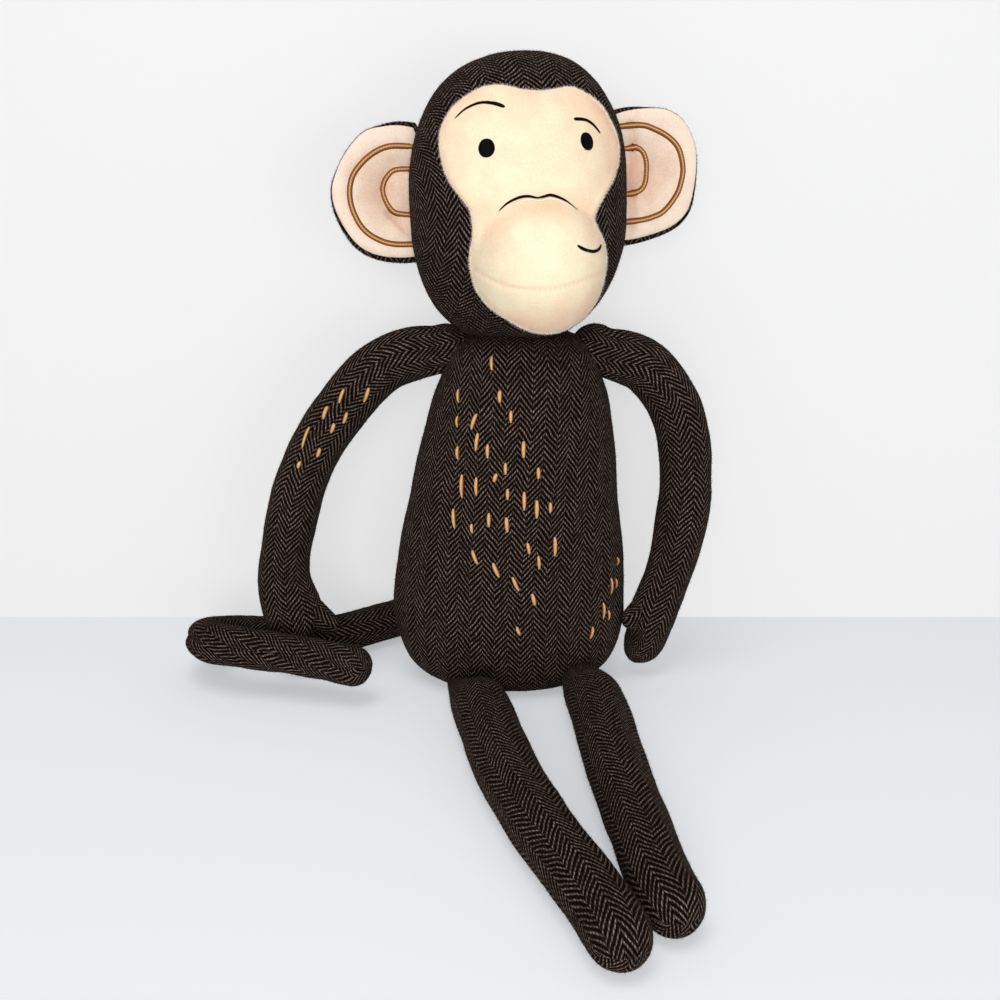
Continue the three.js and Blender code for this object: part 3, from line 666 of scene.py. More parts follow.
# Arms. Long stuffed tubes of the same tweed that hang from the shoulders, with the columns of the
# weave along them, and flatten to a mitten hand with one thumb. Each is gathered where it is sewn on.
RIGHT_ARM_ROUTE = [
    (-37.6, 0, 209), (-71.5, 0, 201.7), (-105.5, -0.8, 169.3), (-128.5, -2.8, 127.5),
    (-139.5, -5.2, 87.8), (-142.5, -7.2, 55.4), (-131.5, -8, 3.1),
]
LEFT_ARM_ROUTE = [
    (51.6, 0, 209), (81.5, 0, 198.5), (102.5, -0.8, 168.2), (109, -2.8, 127.5),
    (105, -5.2, 87.8), (94.5, -7.2, 47), (80.5, -8, 8.4),
]
ARM_BALL, ARM_NECK, ARM_RADIUS, ARM_RINGS = 15.5, 14.6, 16, 76
HAND_HALF_WIDTH, HAND_HALF_THICKNESS, HAND_LENGTH = 16.6, 12, 52
RIGHT_HAND_TURN, LEFT_HAND_TURN = 0, 36
THUMB_ROOT_RADIUS, THUMB_RADIUS, THUMB_FLATNESS = 12, 7.5, 0.78
THUMB_SIDES, THUMB_ROWS = 20, 25
# How far each thumb is from the fingertips, and its length.
RIGHT_THUMB, LEFT_THUMB = (51, 29), (47, 22)
# On its inner side the hand is wider at the thumb, and narrower along the fingers.
FLARE, FLARE_BELOW_SEAT, FLARE_REACH = 5.5, 8, 17
NOTCH, NOTCH_START, NOTCH_END = 6.5, 18, 30
LIMB_SIDES, LIMB_WISPS = 64, 12000
ROOT_STEPS, END_STEPS = 20, 16
GATHERS, GATHER_FROM_ROOT, GATHER_REACH = 12, 7, 9
ARM_GATHER = 0.14
SWAY, SWAY_LENGTH = 1.5, 30
NO_TWIST = (0, 0, 0)


def limb_outline(root, neck, swelling, tip, length, rings):
    """Radius and distance along the limb, evenly spaced over its cloth, from the root's ball to the tip."""
    neck_angle = math.acos(neck / root)
    shaft_start = root * math.sin(neck_angle)
    turns = np.linspace(-math.pi / 2, neck_angle, ROOT_STEPS)[:-1]
    ball = np.stack([root * np.cos(turns), root * np.sin(turns)], axis=1)
    shaft = smooth_route([
        (neck, shaft_start),
        (swelling, shaft_start + root),
        (swelling, shaft_start + 0.4 * (length - shaft_start)),
        (tip, length - tip),
    ])
    turns = np.linspace(0, math.pi / 2, END_STEPS)[1:]
    end = np.stack([tip * np.cos(turns), length - tip + tip * np.sin(turns)], axis=1)
    outline = np.vstack([ball, shaft, end])
    outline[0, 0] = outline[-1, 0] = 0
    return places_on(outline, np.linspace(0, route_length(outline)[-1], rings + 1))


def make_limb(name, route, outline, tip, facing, thin, gather, shift=0, half_turn=0, slip=0, twist=NO_TWIST):
    """A tube of tweed along a route, gathered at its root. facing is the way that its front looks at each
    ring, thin is its thickness there as a share of its width, and gather is the depth of the folds at the
    root. shift moves the weave round the limb, half_turn is where the middle of the cloth's first half lies
    and slip is how far its edges miss each other. twist is where along the cloth its columns start to wind
    round the limb, where they stop, and how steeply."""
    radius, distance = outline.T
    length = route_length(route)[-1]
    centres = places_on(route, distance)
    ahead = places_on(route, distance + 0.5) - places_on(route, distance - 0.5)
    at_end = distance > length - 0.6
    ahead[at_end] = ahead[~at_end][-1]
    along = unit(ahead)
    thick = radius * thin(distance)
    limb, ring, side = shape_tube(name, LIMB_SIDES, centres, along, facing(along), radius, thick)
    cloth_length = route_length(outline)
    end_starts = length - tip
    end_cloth = np.interp(end_starts, distance, cloth_length)
    wind_start, wind_end, steepness = twist

    def limb_cloth(place, row, middle):
        """The cloth is two flat halves, cut to a half disc at the end and sewn together round it."""
        turn = turn_of(place, LIMB_SIDES)
        drift = SWAY * math.sin(cloth_length[row] / SWAY_LENGTH) + slip * place / LIMB_SIDES
        wound = steepness * float(np.clip(cloth_length[row] - wind_start, 0, wind_end - wind_start))
        aslant = drift + shift + wound
        if distance[row] <= end_starts:
            return turn * radius[row] + aslant, cloth_length[row] + drift
        from_first_half = turn_of(middle, LIMB_SIDES) - half_turn
        half_middle = half_turn + round(from_first_half / math.pi) * math.pi
        rise = math.asin(min((distance[row] - end_starts) / tip, 1))
        aside = math.sin(turn - half_middle) * math.cos(rise)
        apart = math.acos(np.clip(math.cos(turn - half_middle) * math.cos(rise), -1, 1))
        reach = tip * apart / max(math.hypot(aside, math.sin(rise)), 1e-6)
        return half_middle * tip + reach * aside + aslant, end_cloth + reach * math.sin(rise) + drift

    lay_weave(limb, ring, side, LIMB_SIDES, limb_cloth)
    turn = 2 * math.pi * side / LIMB_SIDES
    folds = 0.5 + 0.5 * np.cos(GATHERS * turn + 1.5 * np.sin(3 * turn))
    near_root = hump(distance[ring] - GATHER_FROM_ROOT, GATHER_REACH)
    points = points_of(limb)
    set_points(limb, points + (centres[ring] - points) * (gather * folds * near_root)[:, None])
    return limb, distance[ring], side


def dress_limb(limb, body, start):
    limb.data.materials.append(tweed)
    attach(limb, body)
    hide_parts(f"{body}_cover", f"{body}_stuffing")
    add_nap(f"{body}_nap", limb, body, tweed_wisp, LIMB_WISPS, TWEED_NAP, TWEED_LIFT, start)


def make_arm(body, points, toward, hand_turn, thumb, lump_start, nap_start):
    """toward is -1 for the right arm and 1 for the left, and thumb is the thumb's place and length."""
    route = smooth_route(points)
    length = route_length(route)[-1]
    outline = limb_outline(ARM_BALL, ARM_NECK, ARM_RADIUS, HAND_HALF_WIDTH, length, ARM_RINGS)
    turn = math.radians(hand_turn) * toward
    front = np.array([math.sin(turn), -math.cos(turn), 0])

    def facing(along):
        return np.tile(front, (len(along), 1))

    def thin(distance):
        hand = smooth_step(distance, length - 2 * HAND_LENGTH, length - HAND_LENGTH)
        return 1 + (HAND_HALF_THICKNESS / HAND_HALF_WIDTH - 1) * hand

    arm, distance, _ = make_limb(body, route, outline, HAND_HALF_WIDTH, facing, thin, ARM_GATHER)
    thumb_from_tip, thumb_length = thumb
    thumb_seat = length - thumb_from_tip
    seat, beyond = places_on(route, np.array([thumb_seat, thumb_seat + 1]))
    along = (beyond - seat) / np.linalg.norm(beyond - seat)
    inward = np.cross(along, front) * toward
    arm_points = points_of(arm)
    inner = np.clip((arm_points - places_on(route, distance)) @ inward / HAND_HALF_WIDTH, 0, 1) ** 1.5
    flare = FLARE * inner * hump(distance - thumb_seat - FLARE_BELOW_SEAT, FLARE_REACH)
    notch = NOTCH * inner * smooth_step(distance, thumb_seat + NOTCH_START, thumb_seat + NOTCH_END)
    set_points(arm, arm_points + inward * (flare - notch)[:, None])
    plump(arm, distance < ARM_BALL, most=1.2)
    add_lumps(arm, height=1.0, length=24, start=lump_start)
    round_off(arm)

    reach = (along + inward) / np.linalg.norm(along + inward)
    spine = np.linspace(-THUMB_ROOT_RADIUS, thumb_length + THUMB_RADIUS, THUMB_ROWS)
    centres = seat + inward * THUMB_RADIUS / 2 + spine[:, None] * reach
    beyond_end = np.maximum(np.maximum(-spine, spine - thumb_length), 0)
    full = np.interp(spine, [0, thumb_length], [THUMB_ROOT_RADIUS, THUMB_RADIUS])
    radius = np.sqrt(np.maximum(full ** 2 - beyond_end ** 2, 0))
    way = np.tile(reach, (THUMB_ROWS, 1))
    thumb_piece, ring, side = shape_tube(
        f"{body}_thumb", THUMB_SIDES, centres, way, facing(way), radius, radius * THUMB_FLATNESS,
    )

    def thumb_cloth(place, row, middle):
        return turn_of(place, THUMB_SIDES) * radius[row], spine[row]

    lay_weave(thumb_piece, ring, side, THUMB_SIDES, thumb_cloth)
    round_off(thumb_piece)
    select_only(arm)
    union = arm.modifiers.new("thumb", "BOOLEAN")
    union.operation = "UNION"
    union.object = thumb_piece
    bpy.ops.object.modifier_apply(modifier=union.name)
    bpy.data.objects.remove(thumb_piece)
    bpy.ops.object.shade_smooth()
    dress_limb(arm, body, nap_start)
    return arm


right_arm = make_arm(
    "right_arm", RIGHT_ARM_ROUTE, -1, RIGHT_HAND_TURN, RIGHT_THUMB, lump_start=10, nap_start=9,
)
make_arm("left_arm", LEFT_ARM_ROUTE, 1, LEFT_HAND_TURN, LEFT_THUMB, lump_start=12, nap_start=8)

# Arm stitches. A few more of the caramel stitches, on the right upper arm alone, slanting along it
# and sewn in the same way.
ARM_STITCHES = [
    (-98.2, 188.0, -101.8, 178.6), (-83.3, 189.0, -87.3, 178.8), (-108.4, 177.7, -111.7, 169.0),
    (-96.9, 174.1, -99.9, 166.2), (-104.8, 167.4, -107.4, 160.6), (-119.9, 165.4, -125.4, 151.0),
    (-114.0, 152.1, -116.3, 146.1), (-126.0, 144.1, -127.8, 139.5),
]
sew_stitches("right_arm_stitches", right_arm, "right_arm", ARM_STITCHES)

# Legs. Two stuffed tweed tubes with round ends that lie on the floor in front of the seat and
# come together at the feet, each sewn to the bottom edge of the torso.
RIGHT_LEG_ROUTE = [
    (-29, -31.5, 16), (-16, -89, 15.5), (-2, -154, 15), (15, -206, 14.5), (35.1, -256, 14),
    (45.5, -289, 13.5),
]
LEFT_LEG_ROUTE = [
    (41, -23.8, 16), (50, -81.6, 15.5), (54, -146.6, 15), (58.8, -198.6, 14.5), (64.9, -249.6, 14),
    (71.9, -268.6, 13.5),
]
LEG_BALL, LEG_NECK, THIGH_RADIUS, FOOT_RADIUS, LEG_RINGS = 15.6, 15.4, 16.5, 14, 80
# At its root a leg is narrower and pressed flat under the torso, and it is full again at the hip's end.
HIP_NARROWNESS, HIP_LEVEL, HIP_END, HIP_GATHER = 0.7, 9, 60, 0.04
RIGHT_HIP_FLATNESS, LEFT_HIP_FLATNESS = 0.12, 0.44
FLOOR_GAP = 0.05


def facing_up(along):
    return np.tile([0, 0, 1.0], (len(along), 1))


def evenly_round(distance):
    return np.ones(len(distance))


def make_leg(body, points, hip_flatness, shift, lump_start, nap_start):
    route = smooth_route(points)
    outline = limb_outline(
        LEG_BALL, LEG_NECK, THIGH_RADIUS, FOOT_RADIUS, route_length(route)[-1], LEG_RINGS,
    )
    leg, distance, _ = make_limb(
        body, route, outline, FOOT_RADIUS, facing_up, evenly_round, HIP_GATHER, shift,
    )
    pressed = points_of(leg)
    full = smooth_step(distance, 0, HIP_END)
    middle = places_on(route, distance)[:, 0]
    pressed[:, 0] = middle + (pressed[:, 0] - middle) * (HIP_NARROWNESS + (1 - HIP_NARROWNESS) * full)
    pressed[:, 2] = HIP_LEVEL + (pressed[:, 2] - HIP_LEVEL) * (hip_flatness + (1 - hip_flatness) * full)
    set_points(leg, pressed)
    plump(leg, distance < LEG_BALL, most=1.0)
    add_lumps(leg, height=0.7, length=24, start=lump_start)
    resting = points_of(leg)
    resting[:, 2] = np.maximum(resting[:, 2], FLOOR_GAP)
    set_points(leg, resting)
    round_off(leg)
    dress_limb(leg, body, nap_start)


make_leg("right_leg", RIGHT_LEG_ROUTE, RIGHT_HIP_FLATNESS, shift=2.4, lump_start=21, nap_start=9)
make_leg("left_leg", LEFT_LEG_ROUTE, LEFT_HIP_FLATNESS, shift=-3.2, lump_start=27, nap_start=8)

# Tail. A long stuffed tweed tube sewn to the back of the torso. It lies on the floor behind the
# right hand, loops round it and comes back in front, with its lengthwise seam on the outside.
TAIL_ROUTE = [
    (-20, 47.5, 20), (-27, 67.5, 20), (-48, 67.5, 14), (-79.5, 49.2, 14), (-112.5, 25.7, 14),
    (-145.5, 20.6, 14), (-178.5, 20.6, 15), (-192.5, 7.7, 19.5), (-194.5, -8, 24.5),
    (-185.5, -26.6, 29.5), (-160.5, -36.6, 30), (-143.5, -38.6, 29), (-116.5, -44.6, 26.8),
    (-83.5, -53.8, 24.5),
]
TAIL_BALL, TAIL_NECK, TAIL_RADIUS, TAIL_TIP, TAIL_RINGS = 12.5, 11.5, 12.7, 12, 150
TAIL_GATHER = 0.14
SEAM_RISE = math.radians(20)
SEAM_SLIP, SEAM_DEPTH, SEAM_REACH = 1.9, 1.6, 1.8
PUCKER_DEPTH, PUCKER_REACH, PUCKER_PITCH = 1.3, 8, 8
# Where along the cloth its columns start and stop winding round the tail, and how steeply.
TAIL_TWIST = (230, 420, -0.45)


def away_from_seam(along):
    outside = unit(np.cross(along, facing_up(along)))
    return -(outside * math.cos(SEAM_RISE) + np.array([0, 0, math.sin(SEAM_RISE)]))


tail_route = smooth_route(TAIL_ROUTE)
tail_outline = limb_outline(
    TAIL_BALL, TAIL_NECK, TAIL_RADIUS, TAIL_TIP, route_length(tail_route)[-1], TAIL_RINGS,
)
tail, tail_distance, tail_side = make_limb(
    "tail", tail_route, tail_outline, TAIL_TIP, away_from_seam, evenly_round, TAIL_GATHER,
    half_turn=math.pi / 2, slip=SEAM_SLIP, twist=TAIL_TWIST,
)
plump(tail, tail_distance < TAIL_BALL, most=0.8)
add_lumps(tail, height=0.9, length=20, start=33)
from_seam = np.minimum(tail_side, LIMB_SIDES - tail_side) * 2 * math.pi * TAIL_RADIUS / LIMB_SIDES
pucker = 0.5 + 0.5 * np.cos(2 * math.pi * tail_distance / PUCKER_PITCH + 2 * np.sin(tail_distance / 17))
drawn_in = SEAM_DEPTH * hump(from_seam, SEAM_REACH)
drawn_in += PUCKER_DEPTH * pucker * hump(from_seam, PUCKER_REACH)
tail_points = points_of(tail)
toward_middle = unit(places_on(tail_route, tail_distance) - tail_points, 1)
set_points(tail, tail_points + toward_middle * drawn_in[:, None])
round_off(tail)
dress_limb(tail, "tail", start=4)

# Head. A stuffed tweed skull that swells forward to the muzzle, turned and tipped on the neck, with
# a cream velour face let into its front. The two are sewn edge to edge and filled as one.
HEAD_TURN, HEAD_ROLL = 11, 3.8
HEAD_MIDDLE = (4.5, 0, 293)
HEAD_HALF_WIDTH, HEAD_HALF_DEPTH, CROWN_RISE, JAW_DROP = 63, 58, 81, 79
SKULL_SQUARENESS, CROWN_LEAN = 2.4, 3
MUZZLE_HALF = np.array([38, 42, 38])
MUZZLE_MIDDLE = np.array([0, -40, -33])
MUZZLE_BLEND = 7
HEAD_SIDES, FACE_RINGS, SKULL_RINGS = 160, 44, 56
# The seam's groove and the swelling of the face beside it, with their places and widths in rings.
SEAM_GROOVE, GROOVE_REACH = 0.8, 1.0
FACE_PUFF, PUFF_FROM_EDGE, PUFF_REACH = 0.45, 4, 2.5
HEM_DEPTH = 3
SKULL_WEAVE_RADIUS = 62
# Where the head is sewn to the neck, and where it starts to rest on the torso's shoulders.
NECK_SEAM, SHOULDERS_FROM, NECK_GAP = 232, 150, 0.8
HEAD_WISPS = 15000
# Edge of the face in degrees: round to the toy's left of straight ahead, and up.
FACE_EDGE = [
    (7.5, 51.6), (-2.8, 52.7), (-16.4, 55.2), (-27.4, 55.7), (-38.2, 54.1), (-53, 47.5), (-57.4, 41.5),
    (-58.5, 35.8), (-56.5, 28.5), (-53.8, 21.9), (-50, 14.8), (-43.6, 7.4), (-37.8, -0.2),
    (-36.8, -7.3), (-37.5, -14.4), (-39.6, -21.3), (-39.6, -27.7), (-37.6, -33.9), (-32, -38.6),
    (-21, -42.4), (-9, -48.2), (1, -51), (12, -51.5), (25, -50), (37, -45.5), (45, -38.5), (46, -32),
    (42, -25.5), (35.5, -18.5), (31.5, -11.3), (34, -5), (40.6, 2.3), (49, 9.3), (55.4, 16), (59, 22.8),
    (59.2, 29.5), (56, 35.9), (51.5, 42.8), (38.3, 49.8), (30.3, 52), (18, 51.8),
]

head_frame = (
    Matrix.Translation(HEAD_MIDDLE)
    @ Matrix.Rotation(math.radians(HEAD_TURN), 4, "Z")
    @ Matrix.Rotation(-math.radians(HEAD_ROLL), 4, "Y")
)
head_turn = np.array(head_frame.to_3x3())


def head_to_toy(points):
    return np.asarray(points) @ head_turn.T + np.array(HEAD_MIDDLE)


def toy_to_head(points):
    return (np.asarray(points) - np.array(HEAD_MIDDLE)) @ head_turn


def head_reach(ways):
    """Distance of the head's surface from its middle, for each way out."""
    leaning = ways[:, 0] - CROWN_LEAN / CROWN_RISE * ways[:, 2]
    sideways = np.hypot(leaning / HEAD_HALF_WIDTH, ways[:, 1] / HEAD_HALF_DEPTH)
    upward = np.abs(ways[:, 2]) / np.where(ways[:, 2] > 0, CROWN_RISE, JAW_DROP)
    skull = (sideways ** SKULL_SQUARENESS + upward ** SKULL_SQUARENESS) ** (-1 / SKULL_SQUARENESS)
    ray, middle = ways / MUZZLE_HALF, MUZZLE_MIDDLE / MUZZLE_HALF
    square = (ray ** 2).sum(axis=1)
    forward = ray @ middle / square
    left = forward ** 2 - (middle @ middle - 1) / square
    muzzle = np.where(left > 0, forward + np.sqrt(np.maximum(left, 0)), 0)
    step = np.maximum(MUZZLE_BLEND - np.abs(skull - muzzle), 0) / MUZZLE_BLEND
    return np.maximum(skull, muzzle) + step * step * MUZZLE_BLEND / 4


def way_of(degrees_round, degrees_up):
    around, up = np.radians(degrees_round), np.radians(degrees_up)
    return np.stack([np.sin(around) * np.cos(up), -np.cos(around) * np.cos(up), np.sin(up)], axis=-1)


def between_ways(first, second, share):
    """Ways that turn evenly from one to another."""
    apart = np.arccos(np.clip((first * second).sum(axis=1), -1, 1))[:, None]
    share = share[:, None]
    return (np.sin((1 - share) * apart) * first + np.sin(share * apart) * second) / np.sin(apart)


def far_by_turn(loop, sides):
    """How far a loop lies from its middle, at evenly spaced turns round it."""
    turns = np.arctan2(loop[:, 1], loop[:, 0]) % (2 * math.pi)
    order = np.argsort(turns)
    far = np.hypot(loop[:, 0], loop[:, 1])
    around = 2 * math.pi * np.arange(sides) / sides
    return around, np.interp(around, turns[order], far[order], period=2 * math.pi)


side_turns, side_far = far_by_turn(smooth_route(FACE_EDGE + FACE_EDGE[:1], 12)[:-1], HEAD_SIDES)
edge_ways = way_of(side_far * np.cos(side_turns), side_far * np.sin(side_turns))

head, head_ring, head_side = start_ball("head", HEAD_SIDES, FACE_RINGS + SKULL_RINGS)
in_face = head_ring <= FACE_RINGS
straight_on = np.tile(way_of(0, 0), (len(head_ring), 1))
behind = np.tile([0.0, 1.0, 0.0], (len(head_ring), 1))
edge_of = edge_ways[head_side]
head_ways = np.where(
    in_face[:, None],
    between_ways(straight_on, edge_of, head_ring / FACE_RINGS),
    between_ways(edge_of, behind, (head_ring - FACE_RINGS) / SKULL_RINGS),
)
head_local = head_ways * head_reach(head_ways)[:, None]
set_points(head, head_to_toy(head_local))
turn_outward(head)

weave_layer = head.data.uv_layers.new(name="weave")
side_angle = np.arctan2(head_local[:, 0], np.hypot(head_local[:, 1], head_local[:, 2]))
up_angle = np.arctan2(head_local[:, 2], np.abs(head_local[:, 1]))
up_reach = np.hypot(head_local[:, 1], head_local[:, 2])
head_weave = np.stack([side_angle * SKULL_WEAVE_RADIUS, up_angle * up_reach], axis=1) / 10
for loop in head.data.loops:
    weave_layer.data[loop.index].uv = head_weave[loop.vertex_index]

plump(head, head_to_toy(head_local)[:, 2] < NECK_SEAM, most=1.4)
add_lumps(head, height=0.8, length=36, start=41)
head_points = points_of(head)
shoulders = torso_rows[torso_rows[:, 1] > SHOULDERS_FROM][::-1]
from_neck = np.hypot(head_points[:, 0] - TORSO_LEAN, head_points[:, 1])
seat_height = np.interp(from_neck, shoulders[:, 0], shoulders[:, 1], right=0) + NECK_GAP
head_points[:, 2] = np.maximum(head_points[:, 2], seat_height)
from_edge = head_ring - FACE_RINGS
groove = SEAM_GROOVE * hump(from_edge, GROOVE_REACH)
puff = FACE_PUFF * hump(from_edge + PUFF_FROM_EDGE, PUFF_REACH)
outward = unit(head_points - np.array(HEAD_MIDDLE))
set_points(head, head_points - outward * (groove - puff)[:, None])
to_edge = head.data.attributes.new("to_edge", "FLOAT", "POINT")
to_edge.data.foreach_set("value", np.clip(head_ring / FACE_RINGS, 0, 2).astype(np.float32))
round_off(head)


def shares_to_edge(piece):
    """How far out from the middle of the face each point is, with 1 at the face's edge."""
    return np.array([item.value for item in piece.data.attributes["to_edge"].data])


select_only(head)
head_shares = shares_to_edge(head)
bpy.ops.object.mode_set(mode="EDIT")
bpy.ops.mesh.select_all(action="DESELECT")
bpy.ops.object.mode_set(mode="OBJECT")
for polygon in head.data.polygons:
    polygon.select = bool(np.mean([head_shares[index] for index in polygon.vertices]) < 1)
bpy.ops.object.mode_set(mode="EDIT")
bpy.ops.mesh.separate(type="SELECTED")
bpy.ops.object.mode_set(mode="OBJECT")
face = next(piece for piece in bpy.context.selected_objects if piece is not head)
face.name = face.data.name = "face"


def turn_in_hem(piece):
    """Turns the sewn edge of a cover in towards the filling."""
    select_only(piece)
    bpy.ops.object.mode_set(mode="EDIT")
    bpy.ops.mesh.select_mode(type="EDGE")
    bpy.ops.mesh.select_all(action="DESELECT")
    bpy.ops.mesh.select_non_manifold(
        use_wire=False, use_multi_face=False, use_non_contiguous=False, use_verts=False,
    )
    bpy.ops.mesh.extrude_edges_indiv()
    bpy.ops.object.mode_set(mode="OBJECT")
    for vertex in piece.data.vertices:
        if vertex.select:
            inside = Vector(HEAD_MIDDLE) * MM - vertex.co
            vertex.co += inside.normalized() * HEM_DEPTH * MM
    piece.data.update()


turn_in_hem(head)
turn_in_hem(face)
head.data.materials.append(tweed)
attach(head, "head")
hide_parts("head_cover", "head_stuffing")
add_nap("head_nap", head, "head", tweed_wisp, HEAD_WISPS, TWEED_NAP, TWEED_LIFT, start=61)

# Face. Cream velour with a short soft pile, in one piece from the brow's two lobes to the chin,
# with a fine seam across under the mouth. It is painted a little peach in places, partly its own
# peach tone and partly painted shade: on the side away from the key lamp, under the chin, in the
# hollows by the muzzle and brows, and along the chin seam.
VELOUR_NAP, VELOUR_LIFT, FACE_WISPS = 1.1, 0.6, 24000
EDGE_FAVOUR, EDGE_START = 4, 0.93
PILE_FINENESS, PATCH_FINENESS = 800, 90
# How far the pile's slow patches go from the pale to the peach colour, and the patches' middle tone.
PATCHINESS, PATCH_MIDDLE = 0.6, 0.42
CHIN_SEAM = [
    (-37.0, -30), (-33.7, -33.6), (-27.7, -37.5), (-19.9, -40.3), (-12.6, -41.4), (-3.8, -42.1),
    (4.7, -41.2), (14.4, -39.6), (26, -37.5), (38, -36),
]
CHIN_SEAM_DEPTH, CHIN_SEAM_REACH, CHIN_STITCH = 0.55, 1.3, 2.6
MUZZLE_SIDE, MUZZLE_FRONT = 37, -30
# Where the face is painted peach, partly its own tone and partly painted shade: across and up, half width and
# half height, and how strongly.
BLUSH_AND_SHADE_PATCHES = [
    ((0, 0), (24, 7), 0.75), ((-27, -12), (8, 16), 0.5), ((27, -14), (8, 14), 0.55),
    ((-8, -60), (26, 9), 0.6), ((22, -52), (12, 12), 0.5), ((46, 18), (9, 24), 0.75),
    ((38, 48), (14, 9), 0.5), ((-36, 56), (18, 8), 0.35), ((2, 60), (14, 9), 0.3),
    ((-46, 14), (7, 16), 0.3), ((0, 40), (44, 22), 0.3),
]


def make_pile():
    """Short pile: fine grain of the fibre ends, over slow patches where they lean another way."""
    group, given, result = new_group(
        "velour_pile",
        [("Place", "Vector"), ("Fine", "Float"), ("Patch", "Float")],
        [("Tone", "Float"), ("Height", "Float")],
    )
    fine = group.nodes.new("ShaderNodeTexNoise")
    join(group, given["Place"], fine.inputs["Vector"])
    join(group, given["Fine"], fine.inputs["Scale"])
    fine.inputs["Detail"].default_value = 3
    patch = group.nodes.new("ShaderNodeTexNoise")
    join(group, given["Place"], patch.inputs["Vector"])
    join(group, given["Patch"], patch.inputs["Scale"])
    speckle = soft_step(group, fine.outputs["Fac"], 0.3, 0.7)
    lean = soft_step(group, patch.outputs["Fac"], 0.25, 0.75)
    leaning = maths(group, "MULTIPLY", lean, 0.55)
    join(group, maths(group, "MULTIPLY_ADD", speckle, 0.45, leaning), result["Tone"])
    join(group, fine.outputs["Fac"], result["Height"])
    return group


velour_pile = make_pile()


def make_velour(name, pale, peach):
    material, tree, shader = new_material(
        name, roughness=0.9, shine=0.1, sheen=0.2, sheen_roughness=0.45, sheen_tint=(1, 0.95, 0.9, 1),
    )
    place = tree.nodes.new("ShaderNodeTexCoord")
    pile = use_group(tree, velour_pile, {
        "Place": place.outputs["Object"],
        "Fine": PILE_FINENESS,
        "Patch": PATCH_FINENESS,
    })
    # The attribute mixes in the peach colour: partly the velour's own tone, partly painted shade.
    blush = tree.nodes.new("ShaderNodeAttribute")
    blush.attribute_name = "blush"
    share = maths(tree, "MULTIPLY_ADD", pile["Tone"], PATCHINESS, blush.outputs["Fac"])
    share = maths(tree, "MINIMUM", maths(tree, "SUBTRACT", share, PATCHINESS * PATCH_MIDDLE), 1.0)
    share = maths(tree, "MAXIMUM", share, 0.0)
    join(tree, blend_colours(tree, share, pale, peach), shader.inputs["Base Color"])
    add_bump(tree, shader, pile["Height"], strength=0.35, depth=0.5)
    return material


def favour_edge(share, least):
    """How thickly the fibres of a nap stand at each place, with most of them close to the cloth's edge."""
    return least + EDGE_FAVOUR * smooth_step(share, EDGE_START, 1)


def add_blush(piece, values):
    layer = piece.data.attributes.new("blush", "FLOAT", "POINT")
    layer.data.foreach_set("value", np.asarray(values, np.float32))


face_points = points_of(face)
face_local = toy_to_head(face_points)
chin_curve = smooth_route(CHIN_SEAM)
seam_at = np.interp(face_local[:, 0], chin_curve[:, 0], chin_curve[:, 1])
in_front = (face_local[:, 1] < MUZZLE_FRONT) & (np.abs(face_local[:, 0]) < MUZZLE_SIDE)
crease = hump(face_local[:, 2] - seam_at, CHIN_SEAM_REACH) * in_front
outward = unit(face_points - np.array(HEAD_MIDDLE))
set_points(face, face_points - outward * (CHIN_SEAM_DEPTH * crease)[:, None])
face_shares = shares_to_edge(face)
# Painted shade along the chin seam's crease, broken into dots by the seam's stitches, and a little more peach
# towards the face's edge.
dots = 0.5 + 0.5 * np.cos(2 * math.pi * face_local[:, 0] / CHIN_STITCH)
blush = (0.1 + 0.4 * dots) * crease + 0.15 * smooth_step(face_shares, 0.75, 0.95)
for (across, up), (wide, high), strength in BLUSH_AND_SHADE_PATCHES:
    from_middle = ((face_local[:, 0] - across) / wide) ** 2 + ((face_local[:, 2] - up) / high) ** 2
    blush += strength * np.exp(-from_middle)
add_blush(face, np.clip(blush, 0, 1))
face.data.materials.append(make_velour("cream_velour", colour(255, 240, 206), colour(252, 208, 176)))
velour_wisp = make_wisp("velour_fibre_ends", shine=0.1, sheen=0.8, shade=colour(255, 244, 232))
add_nap(
    "face_nap", face, "head", velour_wisp, FACE_WISPS, VELOUR_NAP, VELOUR_LIFT, start=71,
    favour=favour_edge(face_shares, 0.15),
)
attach(face, "head")
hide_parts("face_panel", "chin_panel")

# Eyes, brows, nose and smile. All are embroidered in black thread on the velour: the eyes are low
# satin-stitched dots, and the lines are rows of the same stitch that taper to their ends. A white
# thread line under the nose line is a painted highlight on the fold's lower edge.
LINE_SIDES, LINE_ROWS, LINE_SQUARENESS, LINE_FLATNESS, LINE_LIFT = 10, 41, 12, 0.6, 0.15
EYE_SIDES, EYE_ROWS, EYE_THICKNESS, EYE_SINK = 24, 25, 1.5, 0.3
# Each line's places across and up from the head's middle, and its half width there.
RIGHT_BROW = [
    (-38.9, 46.2, 0.35), (-33.1, 50.6, 0.6), (-25.6, 53, 0.75), (-19.5, 52.2, 0.95), (-13.8, 49.8, 1.05),
]
LEFT_BROW = [(21.9, 41.9, 0.95), (29.1, 41.2, 0.85), (33.9, 38.6, 0.75), (37.9, 34.1, 0.6)]
